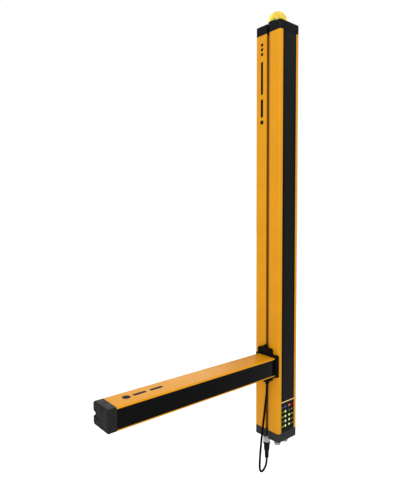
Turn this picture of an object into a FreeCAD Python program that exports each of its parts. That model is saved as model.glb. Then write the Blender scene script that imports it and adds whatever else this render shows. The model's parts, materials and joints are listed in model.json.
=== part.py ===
import FreeCAD, Part
import math
import os

from FreeCAD import Vector

# Safety light curtain: a tall receiver column with a horizontal muting arm on its left side,
# an indicator lamp on top and three round connectors underneath.  Millimetres, +Z up.
# The flat rear face of the column is the plane y = 0, the window looks along -Y and the arm
# points along -X.  Heights are worked out from the underside of the bottom cap, and save()
# lowers each piece by half the column, so the origin is the middle of the rear face.

# ---- column profile -------------------------------------------------------------------
column_width = 52.0
column_depth = 60.0
column_height = 770.0
cap_height = 17.0
profile_wall = 2.0
rear_corner = 2.5
front_corner = 4.0
rear_step = 0.6               # the rear half of each side is set in by this much
port_radius = 3.4             # round screw channels in the corners of the profile
port_sink = 0.8               # how far the channels sink into the walls
port_bore = 1.55

# ---- fixing slot in both sides of the column ------------------------------------------
slot_setback = 29.0           # from the rear face to the middle of the slot
slot_mouth = 5.0
slot_lip = 2.2
slot_width = 9.5
slot_depth = 7.4
lead_in_angle = 40.0
lead_in_share = 0.9           # how much of the lead-in's flank its rounding takes up

# ---- window ---------------------------------------------------------------------------
window_width = 36.0
window_recess = 0.3
front_lip = 2.0
flange_reach = 2.9
flange_thickness = 2.4
rib_thickness = 1.8
rib_reach = 0.6
window_clearance = 0.1
divider_height = 74.0         # underside of the strip between the indicators and the window
divider_thickness = 2.0

# ---- indicators -----------------------------------------------------------------------
light_radius = 2.3
light_dome = 0.5
light_column_spacing = 10.6
light_row_pitch = 9.2
light_rows = 5
light_bottom_row = 28.6
light_columns_offset = -0.7   # the pair of columns sits a little left of the middle
chip_size = 2.8
chip_thickness = 1.2

# ---- optics ---------------------------------------------------------------------------
carrier_clearance = 0.2
carrier_front = 3.0
carrier_leg = 2.0
board_thickness = 1.6
beam_pitch = 40.0
first_beam = 112.0
lens_radius = 7.8
lens_bulge = 1.6
receiver_radius = 2.5
receiver_length = 4.5

# ---- end caps, shared -----------------------------------------------------------------
cap_floor = 4.0
cap_wall = 2.6
cap_edge = 1.2
cap_boss_radius = 2.9
seal_inset = 0.9
seal_thickness = 1.0
screw_radius = 1.5
screw_length = 24.0
screw_head_radius = 3.0
screw_head_height = 2.0
fit_gap = 0.05
head_gap = 0.3

# ---- lamp -----------------------------------------------------------------------------
lamp_setback = 30.0
lamp_base_radius = 18.6
lamp_base_height = 7.0
lamp_radius = 17.1
lamp_wall = 1.6
lamp_straight = 3.4
lamp_floor = 2.6
lamp_seal_width = 2.4
lamp_seal_thickness = 1.2
lamp_screw_circle = 9.5

# ---- connectors under the bottom cap --------------------------------------------------
socket_radius = 6.0
socket_bore = 4.9
socket_reach = 10.5
socket_flange_radius = 6.9
socket_flange = 2.5
socket_nut_flats = 14.5
socket_nut_height = 2.4
socket_relief = 0.6           # thread run-out between the lock nut and the free thread
socket_relief_depth = 0.4
socket_face = 3.0             # face of the insert, measured down from the cap
pin_radius = 0.5
pin_circle = 2.6
front_socket_setback = 14.0   # from the front of the column to the middle of the two front connectors
socket_places = {             # name: (x, distance from the rear face)
    "arm": (-13.0, 18.5),
    "power": (-13.0, column_depth - front_socket_setback),
    "data": (8.0, column_depth - front_socket_setback),
}

# ---- plug and cable -------------------------------------------------------------------
plug_nut_radius = 6.9
plug_nut_top = 4.5            # all four measured down from the underside of the cap
plug_nut_bottom = 19.5
plug_grip_bottom = 34.5
plug_tail_bottom = 47.5
plug_grip_radius = 5.7
plug_tail_radius = 3.9
cable_diameter = 4.2

# ---- arm ------------------------------------------------------------------------------
arm_height = 34.4
arm_depth = 45.0
arm_length = 341.0            # from the side of the column to the face of the end cap
arm_base = 128.6              # underside of the arm above the underside of the column
arm_setback = 2.0             # the arm's front stands behind the column's front
arm_wall = 2.0
arm_rear_corner = 4.5
arm_front_corner = 2.2
arm_window_height = 29.2
arm_flange_reach = 1.1
arm_lead_in_angle = 45.0
arm_lead_in_radius = 2.0
arm_port_radius = 2.8
arm_port_sink = 0.3           # how far the arm's screw channels sink into its walls
arm_port_setback = 15.0       # from the front of the arm
arm_cap_length = 14.0
arm_screw_length = 26.0
arm_mount_screw_length = 20.0
arm_cap_edge = 2.0
arm_cap_notch = 11.0
badge_recess = (12.5, 14.0, 0.8)      # plain recess in the end face: height, width, depth
badge_setback = 14.0
arm_sensor_places = (60.0, 280.0)
arm_lens_radius = 7.0

# ---- bracket --------------------------------------------------------------------------
bracket_floor = 3.0
collar_length = 8.5
collar_wall = 2.6
collar_rear_wall = 3.6
collar_front_wall = 2.2
collar_corner = 3.0
ear_thickness = 6.0
ear_half_width = 17.0
ear_rise = 11.0
ear_nose = 5.0
ear_screw_rise = 4.2
ear_screw_radius = 2.0
ear_head_radius = 3.5
ear_head_height = 4.0
slot_nut_length = 16.0
slot_nut_thickness = 3.2
gland_radius = 3.4
gland_length = 5.0
duct_wall = 1.4

# ---- values worked out from the sizes above ---------------------------------------------
half_width = column_width / 2
rear_half = half_width - rear_step
slot_y = -slot_setback
slot_rear_edge = slot_y + slot_mouth / 2
slot_front_edge = slot_y - slot_mouth / 2
lip_x = half_width - slot_lip
slot_floor_x = half_width - slot_depth
cap_head_seat = cap_height - screw_head_height - head_gap
lead_in_run = slot_lip / math.tan(math.radians(lead_in_angle))
lead_in_flank = slot_lip / math.sin(math.radians(lead_in_angle))
lead_in_radius = lead_in_share * lead_in_flank / math.tan(math.radians(lead_in_angle / 2))
window_groove = window_width / 2 + flange_reach
rib_edge = window_width / 2 - rib_reach
housing_bottom = cap_height
housing_top = column_height - cap_height
flange_front = -column_depth + front_lip
flange_rear = flange_front + flange_thickness
rib_rear = flange_rear + rib_thickness
cavity_half = half_width - profile_wall
slot_wall_x = slot_floor_x - profile_wall
slot_wall_front = slot_y - slot_width / 2 - profile_wall
slot_wall_rear = slot_y + slot_width / 2 + profile_wall
arm_mid = arm_base + arm_height / 2
arm_half = arm_height / 2
arm_rear = -(column_depth - arm_setback - arm_depth)
arm_start = bracket_floor + seal_thickness
arm_end = arm_length - arm_cap_length
arm_cavity_half = arm_half - arm_wall
arm_port_x = arm_cavity_half - arm_port_radius + arm_port_sink
arm_port_y = -(arm_depth - arm_port_setback)


# ---- drawing helpers --------------------------------------------------------------------
def rounded_wire(corners):
    """A closed flat wire through (x, y, radius) corners, each rounded by its own radius."""
    points = [Vector(x, y, 0) for x, y, radius in corners]
    count = len(points)
    starts, middles, ends = [], [], []
    for i in range(count):
        here = points[i]
        back = (points[i - 1] - here).normalize()
        ahead = (points[(i + 1) % count] - here).normalize()
        radius = corners[i][2]
        half_angle = back.getAngle(ahead) / 2
        reach = radius / math.tan(half_angle) if radius > 0 else 0.0
        starts.append(here + back * reach)
        ends.append(here + ahead * reach)
        if radius > 0:
            inward = (back + ahead).normalize()
            middles.append(here + inward * (radius / math.sin(half_angle) - radius))
        else:
            middles.append(None)
    edges = []
    for i in range(count):
        if middles[i] is not None:
            edges.append(Part.Arc(starts[i], middles[i], ends[i]).toShape())
        following = starts[(i + 1) % count]
        if ends[i].distanceToPoint(following) > 1e-6:
            edges.append(Part.LineSegment(ends[i], following).toShape())
    return Part.Wire(edges)


def prism(corners, bottom, top):
    """A solid of the outline between two heights."""
    face = Part.Face(rounded_wire(corners))
    face.translate(Vector(0, 0, bottom))
    return face.extrude(Vector(0, 0, top - bottom))


def mirrored(half):
    """The left half of an outline, closed with its mirror image."""
    return half + [(-x, y, radius) for x, y, radius in reversed(half)]


def cylinder(radius, length, x, y, z, direction=Vector(0, 0, 1)):
    return Part.makeCylinder(radius, length, Vector(x, y, z), direction)


def turned(outline, x=0.0, y=0.0, z=0.0):
    """A body of revolution about a vertical axis from (radius, height) points."""
    points = [Vector(radius, 0, height) for radius, height in outline]
    wire = Part.makePolygon(points + [points[0]])
    solid = Part.Face(wire).revolve(Vector(0, 0, 0), Vector(0, 0, 1), 360)
    solid.translate(Vector(x, y, z))
    return solid


def from_side(shape, up=0.0, back=0.0):
    """Stand a shape on the column's left side: its x becomes up, its z points out along -X."""
    shape.rotate(Vector(0, 0, 0), Vector(0, 1, 0), -90)
    shape.translate(Vector(-half_width, back, up))
    return shape


def on_arm(shape):
    return from_side(shape, arm_mid, arm_rear)


def save(name, *solids):
    shape = solids[0] if len(solids) == 1 else Part.makeCompound(list(solids))
    shape.translate(Vector(0, 0, -column_height / 2))
    shape.exportStep("parts/" + name + ".step")


def countersunk_screw(length, shank, head, head_height):
    """A countersunk screw standing on its tip at z = -length, with its head's face at z = 0."""
    return turned([(0, 0), (head, 0), (shank, -head_height), (shank, -length), (0, -length)])


def pan_screw(length, shank, head, head_height):
    """A pan-head screw with its seat at z = 0 and a round drive recess in its head."""
    drive = head * 0.45
    depth = head_height * 0.6
    outline = [(0, head_height - depth), (drive, head_height - depth), (drive, head_height),
               (head * 0.75, head_height), (head, head_height * 0.55), (head, 0),
               (shank, 0), (shank, -length), (0, -length)]
    return turned(outline)


def placed(shape, x, y, z):
    copy = shape.copy()
    copy.translate(Vector(x, y, z))
    return copy


def bored(shape, places, radius, bottom, top):
    """The shape with a round vertical hole at every place."""
    for x, y in places:
        shape = shape.cut(cylinder(radius, top - bottom, x, y, bottom))
    return shape


# ---- column housing -----------------------------------------------------------------------
housing_outline = [
    (-rear_half, 0, rear_corner),
    (-rear_half, slot_rear_edge, 0.4),
    (-lip_x, slot_rear_edge, 0),
    (-lip_x, slot_y + slot_width / 2, 0),
    (-slot_floor_x, slot_y + slot_width / 2, 0.6),
    (-slot_floor_x, slot_y - slot_width / 2, 0.6),
    (-lip_x, slot_y - slot_width / 2, 0),
    (-lip_x, slot_front_edge, 0.1),
    (-half_width, slot_front_edge - lead_in_run, lead_in_radius),
    (-half_width, -column_depth, front_corner),
    (-window_width / 2, -column_depth, 0.4),
    (-window_width / 2, flange_front, 0),
    (-window_groove, flange_front, 0),
    (-window_groove, flange_rear, 0),
    (-rib_edge, flange_rear, 0),
    (-rib_edge, rib_rear, 0),
    (-cavity_half, rib_rear, 0),
    (-cavity_half, slot_wall_front, 0),
    (-slot_wall_x, slot_wall_front, 0.5),
    (-slot_wall_x, slot_wall_rear, 0.5),
    (-(rear_half - profile_wall), slot_wall_rear, 0),
    (-(rear_half - profile_wall), -profile_wall, 0),
]

port_inset = port_radius - port_sink
rear_port = (rear_half - profile_wall - port_inset, -(profile_wall + port_inset))
front_port = (cavity_half - port_inset, rib_rear + port_inset)
cap_screw_places = [(side * port[0], port[1]) for side in (-1, 1) for port in (rear_port, front_port)]


def column_housing():
    body = prism(mirrored(housing_outline), housing_bottom, housing_top)
    for x, y in cap_screw_places:
        body = body.fuse(cylinder(port_radius, housing_top - housing_bottom, x, y, housing_bottom))
    return bored(body, cap_screw_places, port_bore, housing_bottom, housing_top).removeSplitter()


# ---- windows and indicators ---------------------------------------------------------------
def window_strip(bottom, top, recess):
    inner = window_width / 2 - window_clearance
    outer = window_groove - window_clearance
    outline = [
        (-inner, -column_depth + recess, 0.2),
        (-inner, flange_front + window_clearance, 0),
        (-outer, flange_front + window_clearance, 0),
        (-outer, flange_rear - window_clearance, 0),
    ]
    return prism(mirrored(outline), bottom, top)


window_face = -column_depth + window_recess
light_places = {}
for column in range(2):
    for row in range(light_rows):
        x = light_columns_offset + (column - 0.5) * light_column_spacing
        light_places[(column, row)] = (x, light_bottom_row + row * light_row_pitch)

carrier_face = rib_rear + carrier_clearance
carrier_half = front_port[0] - port_radius - 2 * carrier_clearance
carrier_front_rear = carrier_face + carrier_front
carrier_rear = slot_wall_front - board_thickness - carrier_clearance
display_board_front = carrier_front_rear
light_tail = display_board_front - chip_thickness - 0.1


def indicator_panel():
    panel = window_strip(housing_bottom, divider_height, window_recess)
    for x, z in light_places.values():
        hole = cylinder(light_radius + fit_gap, front_lip + flange_thickness + 1, x, flange_rear + 0.5, z,
                        Vector(0, -1, 0))
        panel = panel.cut(hole)
    return panel


def light_guide(x, z):
    """A short light guide with a shallow domed face, seen through the indicator panel."""
    length = light_tail - window_face
    rod = cylinder(light_radius, length, x, window_face, z, Vector(0, 1, 0))
    ball = (light_radius ** 2 + light_dome ** 2) / (2 * light_dome)
    dome = Part.makeSphere(ball, Vector(x, window_face + ball - light_dome, z))
    dome = dome.common(cylinder(light_radius, light_dome, x, window_face - light_dome, z, Vector(0, 1, 0)))
    return rod.fuse(dome).removeSplitter()


def lights_at(*keys):
    return [light_guide(*light_places[key]) for key in keys]


def channel(bottom, top):
    """The front channel that carries optics or indicators: a web with two legs."""
    leg_inner = carrier_half - carrier_leg
    outline = [
        (-leg_inner, carrier_rear, 0),
        (-carrier_half, carrier_rear, 0),
        (-carrier_half, carrier_face, 0.6),
        (carrier_half, carrier_face, 0.6),
        (carrier_half, carrier_rear, 0),
        (leg_inner, carrier_rear, 0),
        (leg_inner, carrier_front_rear, 0),
        (-leg_inner, carrier_front_rear, 0),
    ]
    return prism(outline, bottom, top)


def display_frame():
    frame = channel(housing_bottom + 1, divider_height)
    for x, z in light_places.values():
        hole = cylinder(light_radius + carrier_clearance, carrier_front + 2, x, carrier_face - 1, z,
                        Vector(0, 1, 0))
        frame = frame.cut(hole)
    return frame


def board(half, front, bottom, top):
    return Part.makeBox(2 * half, board_thickness, top - bottom, Vector(-half, front, bottom))


def status_leds():
    chips = []
    for x, z in light_places.values():
        corner = Vector(x - chip_size / 2, display_board_front - chip_thickness, z - chip_size / 2)
        chips.append(Part.makeBox(chip_size, chip_thickness, chip_size, corner))
    return chips


optics_bottom = divider_height + divider_thickness
optics_top = housing_top - 1
beam_count = int((optics_top - lens_radius - first_beam) / beam_pitch) + 1
beam_heights = [first_beam + i * beam_pitch for i in range(beam_count)]


def optics_carrier():
    body = channel(optics_bottom, optics_top)
    for z in beam_heights:
        hole = cylinder(lens_radius + fit_gap, carrier_front + 2, 0, carrier_face - 1, z, Vector(0, 1, 0))
        body = body.cut(hole)
    return body


def lens(radius, thickness, bulge):
    """A plano-convex lens, flat side at y = 0 and bulging towards +Y."""
    ball = (radius ** 2 + bulge ** 2) / (2 * bulge)
    disc = cylinder(radius, thickness, 0, 0, 0, Vector(0, 1, 0))
    dome = Part.makeSphere(ball, Vector(0, thickness + bulge - ball, 0))
    dome = dome.common(cylinder(radius, bulge, 0, thickness, 0, Vector(0, 1, 0)))
    return disc.fuse(dome).removeSplitter()


def beam_lenses():
    one = lens(lens_radius, carrier_front, lens_bulge)
    return [placed(one, 0, carrier_face, z) for z in beam_heights]


def beam_receivers():
    return [cylinder(receiver_radius, receiver_length, 0, carrier_rear, z, Vector(0, -1, 0))
            for z in beam_heights]


save("column_housing", column_housing())
save("column_window", window_strip(divider_height + divider_thickness, housing_top, window_recess))
save("window_divider", window_strip(divider_height, divider_height + divider_thickness, 0.0))
save("indicator_panel", indicator_panel())
top_row = light_rows - 1
save("indicator_light_blue", *lights_at((0, top_row)))
save("indicator_light_red", *lights_at((1, top_row)))
save("indicator_light_unlit", *lights_at((1, top_row - 1)))
green_keys = [(column, row) for column in range(2) for row in range(top_row - column)]
save("indicator_lights_green", *lights_at(*green_keys))
save("display_frame", display_frame())
save("display_board", board(carrier_half - carrier_leg - carrier_clearance, display_board_front,
                            housing_bottom + 3, divider_height - 3))
save("status_leds", *status_leds())
save("control_board", board(carrier_half, carrier_rear, housing_bottom + 1, divider_height - 1))
save("optics_carrier", optics_carrier())
save("beam_lenses", *beam_lenses())
save("beam_board", board(carrier_half, carrier_rear, optics_bottom, optics_top))
save("beam_receivers", *beam_receivers())


# ---- caps on the column -------------------------------------------------------------------
def capped_block(outline, bottom, top, edge):
    """A prism whose upper rim is rounded over."""
    body = prism(outline, bottom, top)
    if edge > 0:
        rim = [line for line in body.Edges if min(vertex.Z for vertex in line.Vertexes) > top - 1e-6]
        body = body.makeFillet(edge, rim)
    return body


def cap_block(inset, bottom, top, edge):
    """The column's outline between two heights, with a notch where each fixing slot runs out."""
    halves = []
    for side, low, high in ((half_width, -column_depth, slot_y), (rear_half, slot_y, 0)):
        outline = mirrored([(-side + inset, -inset, rear_corner - inset / 2),
                            (-side + inset, -column_depth + inset, front_corner - inset / 2)])
        window = Part.makeBox(column_width, high - low, top - bottom + 2,
                              Vector(-half_width, low, bottom - 1))
        halves.append(capped_block(outline, bottom, top, edge).common(window))
    body = halves[0].fuse(halves[1])
    rear_edge = slot_rear_edge + inset
    front_edge = slot_front_edge - inset
    notch = prism([
        (-half_width - 4, rear_edge, 0),
        (-slot_floor_x + inset, rear_edge, 0.4),
        (-slot_floor_x + inset, front_edge, 0.4),
        (-lip_x, front_edge, 0.1),
        (-half_width, front_edge - lead_in_run, lead_in_radius),
        (-half_width, front_edge - lead_in_run - 5, 0),
        (-half_width - 4, front_edge - lead_in_run - 5, 0),
    ], bottom - 1, top + 1)
    return body.cut(notch).cut(notch.mirror(Vector(0, 0, 0), Vector(1, 0, 0)))


def cap_pocket(bottom, top):
    """The hollow of a cap, leaving its walls, the slot notches and four screw bosses."""
    notch_wall_rear = slot_rear_edge + profile_wall
    notch_wall_front = slot_front_edge - profile_wall
    outline = mirrored([
        (-rear_half + cap_wall, -cap_wall, 1.0),
        (-rear_half + cap_wall, notch_wall_rear, 0),
        (-slot_wall_x, notch_wall_rear, 0),
        (-slot_wall_x, notch_wall_front, 0),
        (-half_width + cap_wall, notch_wall_front, 0),
        (-half_width + cap_wall, -column_depth + cap_wall, 2.0),
    ])
    return bored(prism(outline, bottom, top), cap_screw_places, cap_boss_radius, bottom, top)


def seal_ring(bottom):
    """The flat gasket between a cap and the end of the profile."""
    ring = cap_block(seal_inset, bottom, bottom + seal_thickness, 0)
    ring = ring.cut(cap_pocket(bottom - 1, bottom + seal_thickness + 1))
    ring = bored(ring, cap_screw_places, screw_radius + 2 * fit_gap, bottom - 1, bottom + 2)
    return ring.removeSplitter()


def cap_body():
    """A cap lying open side down on z = 0, with its face at z = cap_height."""
    body = cap_block(0, 0, cap_height, cap_edge)
    body = body.cut(cap_pocket(-1, cap_height - cap_floor)).cut(seal_ring(0))
    body = bored(body, cap_screw_places, screw_radius + fit_gap, -1, cap_height + 1)
    body = bored(body, cap_screw_places, screw_head_radius + fit_gap, cap_head_seat, cap_height + 1)
    return body.removeSplitter()


def cap_screws():
    one = pan_screw(screw_length, screw_radius, screw_head_radius, screw_head_height)
    return [placed(one, x, y, cap_head_seat) for x, y in cap_screw_places]


def at_top(shape):
    shape.translate(Vector(0, 0, housing_top))
    return shape


def at_bottom(shape):
    """Turn a cap piece over, about the column's own middle plane x = 0."""
    shape.rotate(Vector(0, 0, 0), Vector(0, 1, 0), 180)
    shape.translate(Vector(0, 0, housing_bottom))
    return shape


# ---- lamp -----------------------------------------------------------------------------------
lamp_y = -lamp_setback
lamp_skirt = lamp_radius - lamp_wall
lamp_rabbet = lamp_skirt + fit_gap
lamp_screw_places = [(side * lamp_screw_circle, lamp_y) for side in (-1, 1)]
lamp_screw_radius = 1.5
lamp_screw_length = 7.0
lamp_screw_head = 2.7
lamp_screw_head_height = 1.5
lamp_boss_radius = 3.2
lamp_wire_hole = 4.0
lamp_seal_circle = 14.5


def lamp_base():
    outline = [
        (lamp_wire_hole, 0), (lamp_base_radius, 0), (lamp_base_radius, lamp_base_height * 0.45),
        (lamp_radius + 0.5, lamp_base_height), (lamp_rabbet, lamp_base_height),
        (lamp_rabbet, lamp_floor), (lamp_wire_hole, lamp_floor),
    ]
    body = turned(outline, 0, lamp_y, column_height)
    body = body.cut(lamp_seal())
    body = bored(body, lamp_screw_places, lamp_screw_radius + fit_gap, column_height - 1, column_height + 9)
    for x, y in lamp_screw_places:
        seat = countersunk_screw(lamp_floor, lamp_screw_radius + fit_gap, lamp_screw_head + fit_gap,
                                 lamp_screw_head_height)
        body = body.cut(placed(seat, x, y, column_height + lamp_floor))
    return body


def lamp_seal():
    """A flat ring let into the underside of the lamp's base."""
    inner = lamp_seal_circle - lamp_seal_width / 2
    outer = lamp_seal_circle + lamp_seal_width / 2
    outline = [(inner, 0), (outer, 0), (outer, lamp_seal_thickness), (inner, lamp_seal_thickness)]
    return turned(outline, 0, lamp_y, column_height)


def half_ball(radius):
    return Part.makeSphere(radius, Vector(0, 0, 0), Vector(0, 0, 1), 0, 90, 360)


def lamp_dome():
    skirt_bottom = lamp_floor + board_thickness + 0.1
    straight_top = lamp_base_height + lamp_straight
    inner = lamp_skirt - lamp_wall
    inner_dome = lamp_radius - lamp_wall
    outline = [(lamp_skirt, skirt_bottom), (lamp_skirt, lamp_base_height), (lamp_radius, lamp_base_height),
               (lamp_radius, straight_top), (inner_dome, straight_top), (inner, lamp_base_height + 0.6),
               (inner, skirt_bottom)]
    shell = half_ball(lamp_radius).cut(half_ball(inner_dome))
    shell.translate(Vector(0, lamp_y, column_height + straight_top))
    return shell.fuse(turned(outline, 0, lamp_y, column_height)).removeSplitter()


def lamp_board():
    disc = cylinder(lamp_skirt - 0.5, board_thickness, 0, lamp_y, column_height + lamp_floor)
    return bored(disc, [(0, lamp_y)], lamp_wire_hole - 1, column_height, column_height + lamp_base_height)


def lamp_leds():
    chips = []
    top = column_height + lamp_floor + board_thickness
    for i in range(6):
        angle = math.radians(60 * i)
        x = 8.0 * math.cos(angle)
        y = lamp_y + 8.0 * math.sin(angle)
        chips.append(Part.makeBox(3.0, 3.0, 1.6, Vector(x - 1.5, y - 1.5, top)))
    return chips


def lamp_base_screws():
    one = countersunk_screw(lamp_screw_length, lamp_screw_radius, lamp_screw_head, lamp_screw_head_height)
    return [placed(one, x, y, column_height + lamp_floor) for x, y in lamp_screw_places]


def top_cap():
    body = at_top(cap_body())
    boss_foot = column_height - lamp_screw_length
    for x, y in lamp_screw_places:
        body = body.fuse(cylinder(lamp_boss_radius, lamp_screw_length - 1, x, y, boss_foot))
    body = bored(body, lamp_screw_places, lamp_screw_radius + fit_gap, boss_foot - 1, column_height + 1)
    body = bored(body, [(0, lamp_y)], lamp_wire_hole, boss_foot - 1, column_height + 1)
    return body.removeSplitter()


save("top_cap", top_cap())
save("top_cap_seal", at_top(seal_ring(0)))
save("top_cap_screws", *[at_top(screw) for screw in cap_screws()])
save("lamp_base", lamp_base())
save("lamp_seal", lamp_seal())
save("lamp_base_screws", *lamp_base_screws())
save("lamp_board", lamp_board())
save("lamp_leds", *lamp_leds())
save("lamp_dome", lamp_dome())


# ---- bottom cap and its connectors ------------------------------------------------------------
def bottom_cap():
    places = [(x, -setback) for x, setback in socket_places.values()]
    return bored(at_bottom(cap_body()), places, socket_radius + fit_gap, -1, cap_floor + 1)


def socket_shell(x, setback):
    """Metal connector shell: a threaded barrel under the cap and a flange inside it."""
    back_end = cap_floor + socket_flange + 3
    relief_foot = -socket_nut_height - socket_relief
    outline = [
        (socket_bore, -socket_reach + 0.4), (socket_bore + 0.4, -socket_reach),
        (socket_radius - 0.4, -socket_reach), (socket_radius, -socket_reach + 0.4),
        (socket_radius, relief_foot), (socket_radius - socket_relief_depth, relief_foot),
        (socket_radius - socket_relief_depth, -socket_nut_height), (socket_radius, -socket_nut_height),
        (socket_radius, cap_floor), (socket_flange_radius, cap_floor),
        (socket_flange_radius, cap_floor + socket_flange), (socket_radius, cap_floor + socket_flange),
        (socket_radius, back_end), (socket_bore, back_end),
    ]
    return turned(outline, x, -setback, 0)


def hexagon(flats, bottom, top):
    radius = flats / math.sqrt(3)
    corners = [(radius * math.cos(math.radians(60 * i)), radius * math.sin(math.radians(60 * i)), 0)
               for i in range(6)]
    return prism(corners, bottom, top)


def socket_nut(x, setback):
    nut = hexagon(socket_nut_flats, -socket_nut_height, 0)
    nut = nut.cut(cylinder(socket_radius + fit_gap, socket_nut_height + 2, 0, 0, -socket_nut_height - 1))
    return placed(nut, x, -setback, 0)


pin_places = [(0.0, 0.0)] + [
    (pin_circle * math.cos(math.radians(45 + 90 * i)), pin_circle * math.sin(math.radians(45 + 90 * i)))
    for i in range(4)]


def socket_insert(x, setback):
    back_end = cap_floor + socket_flange + 1
    body = cylinder(socket_bore - fit_gap, back_end + socket_face, 0, 0, -socket_face)
    body = bored(body, pin_places, pin_radius + fit_gap, -socket_face - 1, back_end + 1)
    return placed(body, x, -setback, 0)


def socket_pins(x, setback):
    back_end = cap_floor + socket_flange + 5
    return [cylinder(pin_radius, back_end + socket_face + 5.5, x + px, py - setback, -socket_face - 5.5)
            for px, py in pin_places]


save("bottom_cap", bottom_cap())
save("bottom_cap_seal", at_bottom(seal_ring(0)))
save("bottom_cap_screws", *[at_bottom(screw) for screw in cap_screws()])
for place, (x, setback) in socket_places.items():
    save("socket_shell_" + place, socket_shell(x, setback))
    save("socket_nut_" + place, socket_nut(x, setback))
    save("socket_insert_" + place, socket_insert(x, setback))
    save("socket_pins_" + place, *socket_pins(x, setback))


# ---- plug on the arm's cable --------------------------------------------------------------------
plug_x = socket_places["arm"][0]
plug_y = -socket_places["arm"][1]
plug_step = 15.0              # where the body's neck changes width inside the nut
plug_insert_radius = socket_bore - 0.5


def plug_nut():
    """Knurled coupling nut over the connector's barrel."""
    bore = socket_radius + fit_gap
    neck = plug_grip_radius - 1.5
    outline = [
        (bore, -plug_nut_top), (plug_nut_radius - 0.5, -plug_nut_top), (plug_nut_radius, -plug_nut_top - 0.5),
        (plug_nut_radius, -plug_nut_bottom + 0.5), (plug_nut_radius - 0.5, -plug_nut_bottom),
        (neck, -plug_nut_bottom), (neck, -plug_step - 2), (bore, -plug_step - 2),
    ]
    nut = turned(outline)
    flutes = 16
    for i in range(flutes):
        angle = 2 * math.pi * i / flutes
        reach = plug_nut_radius + 0.35
        flute = cylinder(0.9, plug_nut_bottom - plug_nut_top - 5, reach * math.cos(angle),
                         reach * math.sin(angle), -plug_nut_bottom + 1.5)
        nut = nut.cut(flute)
    return placed(nut, plug_x, plug_y, 0)


def plug_insert():
    top = -socket_face - 0.4
    bottom = -plug_step
    body = cylinder(plug_insert_radius, top - bottom, 0, 0, bottom)
    body = bored(body, pin_places, pin_radius + 2 * fit_gap, top - 6, top + 1)
    return placed(body, plug_x, plug_y, 0)


def plug_body():
    """Moulded grip: a collar held in the nut, a waisted grip with ribs and a slim tail."""
    neck = plug_grip_radius - 1.5 - fit_gap
    grip_top = -plug_nut_bottom
    grip_low = -plug_grip_bottom
    tail_low = -plug_tail_bottom
    outline = [
        (0, -plug_step), (socket_radius - 0.3, -plug_step), (socket_radius - 0.3, -plug_step - 1.9),
        (neck, -plug_step - 1.9), (neck, grip_top), (plug_grip_radius, grip_top),
        (plug_grip_radius, grip_top - 5), (plug_grip_radius - 0.5, grip_low + 3),
        (plug_tail_radius + 0.2, grip_low), (plug_tail_radius, tail_low + 0.6),
        (plug_tail_radius - 0.5, tail_low), (0, tail_low),
    ]
    body = turned(outline)
    for i in range(6):
        angle = math.radians(60 * i + 30)
        reach = plug_grip_radius + 1.6
        flute = cylinder(2.2, 9.5, reach * math.cos(angle), reach * math.sin(angle), grip_low + 3)
        body = body.cut(flute)
    for i in range(3):
        height = tail_low + 2.4 + i * 3.2
        groove = turned([(plug_tail_radius - 0.6, height), (plug_tail_radius + 1, height),
                         (plug_tail_radius + 1, height + 1.2), (plug_tail_radius - 0.6, height + 1.2)])
        body = body.cut(groove)
    return placed(body, plug_x, plug_y, 0)


save("plug_nut", plug_nut())
save("plug_insert", plug_insert())
save("plug_body", plug_body())


# ---- arm ----------------------------------------------------------------------------------------
arm_flange_front = -arm_depth + front_lip
arm_flange_rear = arm_flange_front + flange_thickness
arm_rib_rear = arm_flange_rear + rib_thickness
arm_window_half = arm_window_height / 2
arm_groove_half = arm_window_half + arm_flange_reach
arm_rib_half = arm_window_half - rib_reach
arm_slot_wall = slot_width / 2 + arm_wall
arm_lead_half = slot_mouth / 2 + slot_lip / math.tan(math.radians(arm_lead_in_angle))


def arm_outline():
    return mirrored([
        (-slot_width / 2, -slot_depth, 0.5),
        (-slot_width / 2, -slot_lip, 0),
        (-slot_mouth / 2, -slot_lip, 0.1),
        (-arm_lead_half, 0, arm_lead_in_radius),
        (-arm_half, 0, arm_rear_corner),
        (-arm_half, -arm_depth, arm_front_corner),
        (-arm_window_half, -arm_depth, 0.3),
        (-arm_window_half, arm_flange_front, 0),
        (-arm_groove_half, arm_flange_front, 0),
        (-arm_groove_half, arm_flange_rear, 0),
        (-arm_rib_half, arm_flange_rear, 0),
        (-arm_rib_half, arm_rib_rear, 0),
        (-arm_cavity_half, arm_rib_rear, 0),
        (-arm_cavity_half, -arm_wall, arm_rear_corner - arm_wall),
        (-arm_slot_wall, -arm_wall, 0),
        (-arm_slot_wall, -slot_depth - arm_wall, 0.5),
    ])


arm_port_places = [(side * arm_port_x, arm_port_y) for side in (-1, 1)]


def arm_housing():
    body = prism(arm_outline(), arm_start, arm_end)
    for x, y in arm_port_places:
        body = body.fuse(cylinder(arm_port_radius, arm_end - arm_start, x, y, arm_start))
    return on_arm(bored(body, arm_port_places, port_bore, arm_start, arm_end).removeSplitter())


def arm_window():
    inner = arm_window_half - window_clearance
    outer = arm_groove_half - window_clearance
    outline = mirrored([
        (-inner, -arm_depth + window_recess, 0.2),
        (-inner, arm_flange_front + window_clearance, 0),
        (-outer, arm_flange_front + window_clearance, 0),
        (-outer, arm_flange_rear - window_clearance, 0),
    ])
    return on_arm(prism(outline, arm_start, arm_end))


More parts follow.
